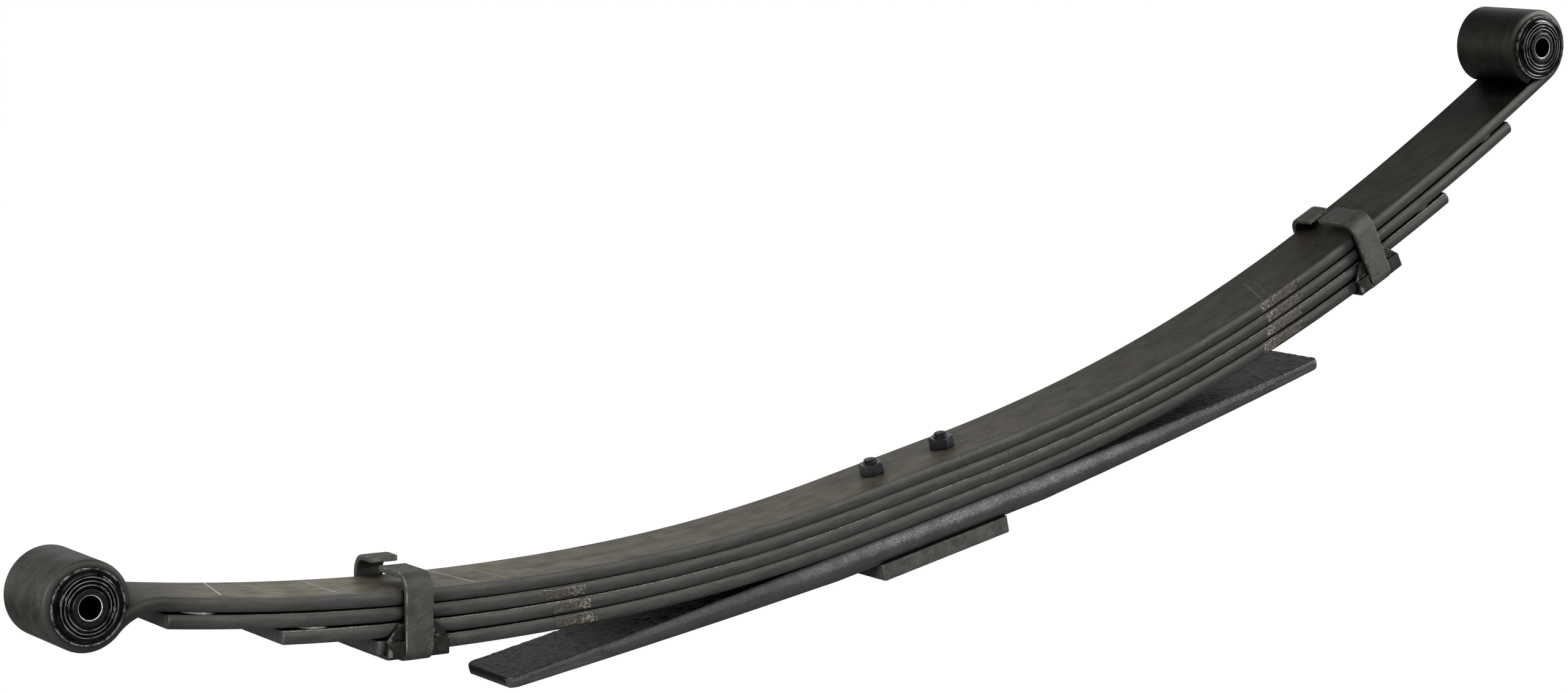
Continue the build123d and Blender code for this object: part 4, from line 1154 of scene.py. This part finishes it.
def pivot_sleeve_steel(name, centre):
    """Black sleeve with a bright chamfer round its bore, whose inside is painted near black as shade."""
    sh = Shader(name)
    place = sh.place()
    radius = sh.radius_about(centre)
    stain = sh.noise(place, 0.5, 4.0, 0.7)
    face = sh.mix(sh.step(stain, 0.4, 0.7), (0.004, 0.004, 0.004), (0.020, 0.019, 0.017))
    ring = sh.mul(sh.step(radius, BORE_RADIUS + 0.15, BORE_RADIUS + 0.30),
                  sh.step(radius, BORE_RADIUS + 0.95, BORE_RADIUS + 0.75))
    colour = sh.mix(sh.mul(ring, sh.step(stain, 0.25, 0.45)), face, (0.62, 0.61, 0.58))
    # Painted shade: the inside of the bore is near black and gives no reflection.
    bore = sh.step(radius, BORE_RADIUS + 0.2, BORE_RADIUS + 0.05)
    colour = sh.mix(bore, colour, (0.001, 0.001, 0.001))
    sh.set(Base_Color=colour, Roughness=0.28, Specular_IOR_Level=sh.step(bore, 0.0, 1.0, 0.5, 0.0))
    sh.relief((stain, 0.15))
    return sh.material


def insert_plastic(name, tone):
    """Pale plastic, dirty in patches."""
    sh = Shader(name)
    dirt = sh.noise(sh.place(), 0.25, 5.0, 0.7)
    clean, dirty = (tone, tone, tone * 0.97), (tone * 0.5, tone * 0.5, tone * 0.48)
    colour = sh.mix(sh.step(dirt, 0.35, 0.65), clean, dirty)
    sh.set(Base_Color=colour, Roughness=0.5)
    sh.relief((dirt, 0.2))
    return sh.material


# ---- build -----------------------------------------------------------------------------------
# (distance along, place across, length, slant, half width, tone) of marks on the main leaf's top.
MARKS = {"front": [
    (679.0, 42.0, 62.0, -0.23, 1.4, 0.95), (586.0, 36.0, 58.0, 0.05, 1.4, 0.60),
    (570.0, 28.0, 42.0, 0.05, 1.0, 0.42), (466.0, 40.0, 74.0, 0.12, 1.5, 0.65),
    (434.0, 32.0, 58.0, 0.12, 1.0, 0.40), (224.0, 66.0, 44.0, 0.10, 1.6, 0.12),
], "rear": [(410.0, 22.0, 60.0, 0.45, 1.2, 0.16), (418.0, 20.0, 56.0, 0.45, 0.7, 0.14)]}
GROOVE_START = {"front": None, "rear": 20.0}

cut_steel = cut_end("leaf_end_steel")
for name in LEAVES:
    for end in CAMBER:
        own = (MARKS[end], GROOVE_START[end]) if name == "main_leaf" else ((), None)
        leaf_half(name, end, *own, cut_steel)
overload_piece(overload_paint("overload_paint_pebbled"))

CORNER_ARC = STRAP_EDGE * QUARTER
STRAP_OUTER_EDGES = (CORNER_ARC / 2, CORNER_ARC * 1.5 + CLIP_WIDTH - 2 * STRAP_EDGE)
clip_paint = plain_paint("clip_paint_worn", (0.060, 0.058, 0.052), (0.100, 0.097, 0.086), 0.42, 0.8, 0.5,
                         edges=STRAP_OUTER_EDGES)
clip_cut = plain_paint("clip_cut_end", (0.05, 0.05, 0.048), (0.22, 0.21, 0.19), 0.35, 0.6, 0.7)
liner_paint = plain_paint("liner_rubber_moulded", (0.012, 0.0115, 0.0105), (0.028, 0.027, 0.024),
                          0.36, 0.7, 0.2, wear=0.55)
rivet_black = plain_paint("rivet_steel_black", (0.022, 0.022, 0.022), (0.05, 0.05, 0.05), 0.4, 0.6, 0.3)
# The rear pads are a darker copy of the pale plastic: painted shade for the shadow in the rear gaps.
plastics = {"front": insert_plastic("insert_plastic_pale", 0.55),
            "rear": insert_plastic("insert_plastic_painted_shade", 0.10)}
for end in CAMBER:
    half, centre = f"{end}_half", eye_centre(end)
    outer_sleeve(end, sleeve_steel(f"{end}_sleeve_steel", centre))
    rubber(end, black_rubber(f"{end}_bush_rubber_black", centre))
    inner_sleeve(end, pivot_sleeve_steel(f"{end}_pivot_sleeve_steel", centre))
    strap(end, clip_paint, clip_cut)
    refined(f"{end}_clip_liner", f"{end}_clip_pad", half, liner_paint, 0.55)
    refined(f"{end}_clip_rivet", f"{end}_rivet", half, rivet_black, 0.3)
    for leaf in ("second_leaf", "third_leaf"):
        refined(f"{leaf}_{end}_insert", f"{leaf}_{end}_tip_pad", half, plastics[end], 0.3)

spacer_paint = plain_paint("spacer_paint_cast", (0.07, 0.068, 0.062), (0.145, 0.14, 0.128), 0.42, 0.7, 0.6,
                           wear=0.7)
refined("axle_spacer", "axle_spacer_block", "root", spacer_paint, 1.5, segments=3)
nut_black = plain_paint("nut_steel_black", (0.020, 0.021, 0.025), (0.040, 0.042, 0.050), 0.24, 0.6, 0.08,
                        wear=0.25)
bolt_black = oiled_steel("bolt_steel_black", (0.11, 0.11, 0.115), 0.30)
refined("center_nuts", "center_hex_nuts", "root", nut_black, 0.30, longest=1.5, rough=0.0)
for side in (-1, 1):
    center_bolt(side, bolt_black)


# ---- stage -----------------------------------------------------------------------------------
FLOOR_BACK = 30.0
FLOOR_FRONT = -0.9
FLOOR_DROP = 0.0005         # below the bolt heads
FLOOR_SEEN = (0.05, 0.05, 0.05, 1)
FLOOR_BOUNCE = (0.28, 0.28, 0.28, 1)
WHITE = (1, 1, 1, 1)
ROOM_LIGHT = 0.02
WALL_LIGHT = 1.0


def node_maker(owner):
    """Empties the owner's node tree; returns a function that adds a node fed with these inputs."""
    owner.use_nodes = True
    tree = owner.node_tree
    tree.nodes.clear()

    def add(kind, inputs, **settings):
        made = tree.nodes.new(kind)
        for key, value in settings.items():
            setattr(made, key, value)
        for where, value in inputs.items():
            if isinstance(value, bpy.types.NodeSocket):
                tree.links.new(value, made.inputs[where])
            else:
                made.inputs[where].default_value = value
        return made.outputs

    return add


def make_floor():
    """Pale studio sweep just under the bolt heads, white to the camera; it ends in front of the view."""
    level = HEAD_BOTTOM * MM - FLOOR_DROP
    mesh = bpy.data.meshes.new("studio_floor")
    corners = [(-FLOOR_BACK, FLOOR_FRONT), (FLOOR_BACK, FLOOR_FRONT),
               (FLOOR_BACK, FLOOR_BACK), (-FLOOR_BACK, FLOOR_BACK)]
    mesh.from_pydata([(x, y, level) for x, y in corners], [], [(0, 1, 2, 3)])
    material = bpy.data.materials.new("studio_floor_pale")
    add = node_maker(material)
    camera_ray = add("ShaderNodeLightPath", {})["Is Camera Ray"]
    bounce = add("ShaderNodeBsdfDiffuse", {"Color": FLOOR_BOUNCE})[0]
    seen = add("ShaderNodeBsdfDiffuse", {"Color": FLOOR_SEEN})[0]
    glow = add("ShaderNodeEmission", {"Strength": 1.0})[0]
    both = add("ShaderNodeAddShader", {0: seen, 1: glow})[0]
    mixed = add("ShaderNodeMixShader", {0: camera_ray, 1: bounce, 2: both})[0]
    add("ShaderNodeOutputMaterial", {0: mixed})
    mesh.materials.append(material)
    floor = bpy.data.objects.new("studio_floor", mesh)
    bpy.context.scene.collection.objects.link(floor)


def make_world():
    """Dim room with a broad pale wall behind the spring; plain white to the camera."""
    world = bpy.data.worlds.new("studio")
    bpy.context.scene.world = world
    add = node_maker(world)

    def fade(value, low, high):
        return add("ShaderNodeMapRange", {"Value": value, "From Min": low, "From Max": high},
                   interpolation_type="SMOOTHSTEP")[0]

    place = add("ShaderNodeTexCoord", {})["Generated"]
    split = add("ShaderNodeSeparateXYZ", {0: place})
    wall = {0: fade(split[1], 0.05, 0.65), 1: fade(split[2], 0.70, 0.10)}
    wall = add("ShaderNodeMath", wall, operation="MULTIPLY")[0]
    wall = add("ShaderNodeMath", {0: wall, 1: WALL_LIGHT}, operation="MULTIPLY")[0]
    strength = add("ShaderNodeMath", {0: wall, 1: ROOM_LIGHT}, operation="ADD")[0]
    lit = add("ShaderNodeBackground", {"Strength": strength})[0]
    seen = add("ShaderNodeBackground", {"Color": WHITE})[0]
    camera_ray = add("ShaderNodeLightPath", {})["Is Camera Ray"]
    mixed = add("ShaderNodeMixShader", {0: camera_ray, 1: lit, 2: seen})[0]
    add("ShaderNodeOutputWorld", {0: mixed})


def soft_light(name, place, aim, size, power):
    """Area light that the camera does not see."""
    data = bpy.data.lights.new(name, "AREA")
    data.shape = "RECTANGLE"
    data.size, data.size_y = size
    data.energy = power
    lamp = bpy.data.objects.new(name, data)
    lamp.location = place
    lamp.rotation_mode = "QUATERNION"
    lamp.rotation_quaternion = (Vector(aim) - Vector(place)).to_track_quat("-Z", "Y")
    lamp.visible_camera = False
    bpy.context.scene.collection.objects.link(lamp)


CAMERA_PLACE = (-1.82638, -2.72403, 1.06856)
CAMERA_AIM = Vector((-0.10504, 0.0, 0.22092))
CAMERA_LENS = 89.11
CAMERA_ROLL = math.radians(10.40)


def make_camera():
    """The viewpoint: 32 degrees round from square on, looking down 15 degrees, rolled 10 degrees."""
    data = bpy.data.cameras.new("camera")
    data.lens = CAMERA_LENS
    data.sensor_width = 36.0
    data.clip_end = 200.0
    camera = bpy.data.objects.new("camera", data)
    camera.location = CAMERA_PLACE
    look = (CAMERA_AIM - camera.location).to_track_quat("-Z", "Y")
    roll = Matrix.Rotation(CAMERA_ROLL, 4, look @ Vector((0, 0, -1)))
    camera.rotation_mode = "QUATERNION"
    camera.rotation_quaternion = (roll @ look.to_matrix().to_4x4()).to_quaternion()
    bpy.context.scene.collection.objects.link(camera)
    bpy.context.scene.camera = camera


make_floor()
make_world()
soft_light("key_above_front", (-0.1, -2.2, 1.35), (0.0, 0.0, 0.15), (2.6, 1.0), 24.0)
soft_light("side_left", (-2.0, -0.6, 0.9), (-0.75, 0.0, 0.22), (0.7, 0.7), 22.0)
soft_light("side_right", (2.2, -0.9, 0.7), (0.6, 0.0, 0.2), (0.6, 1.0), 34.0)
make_camera()
bpy.context.scene.view_settings.view_transform = "Standard"
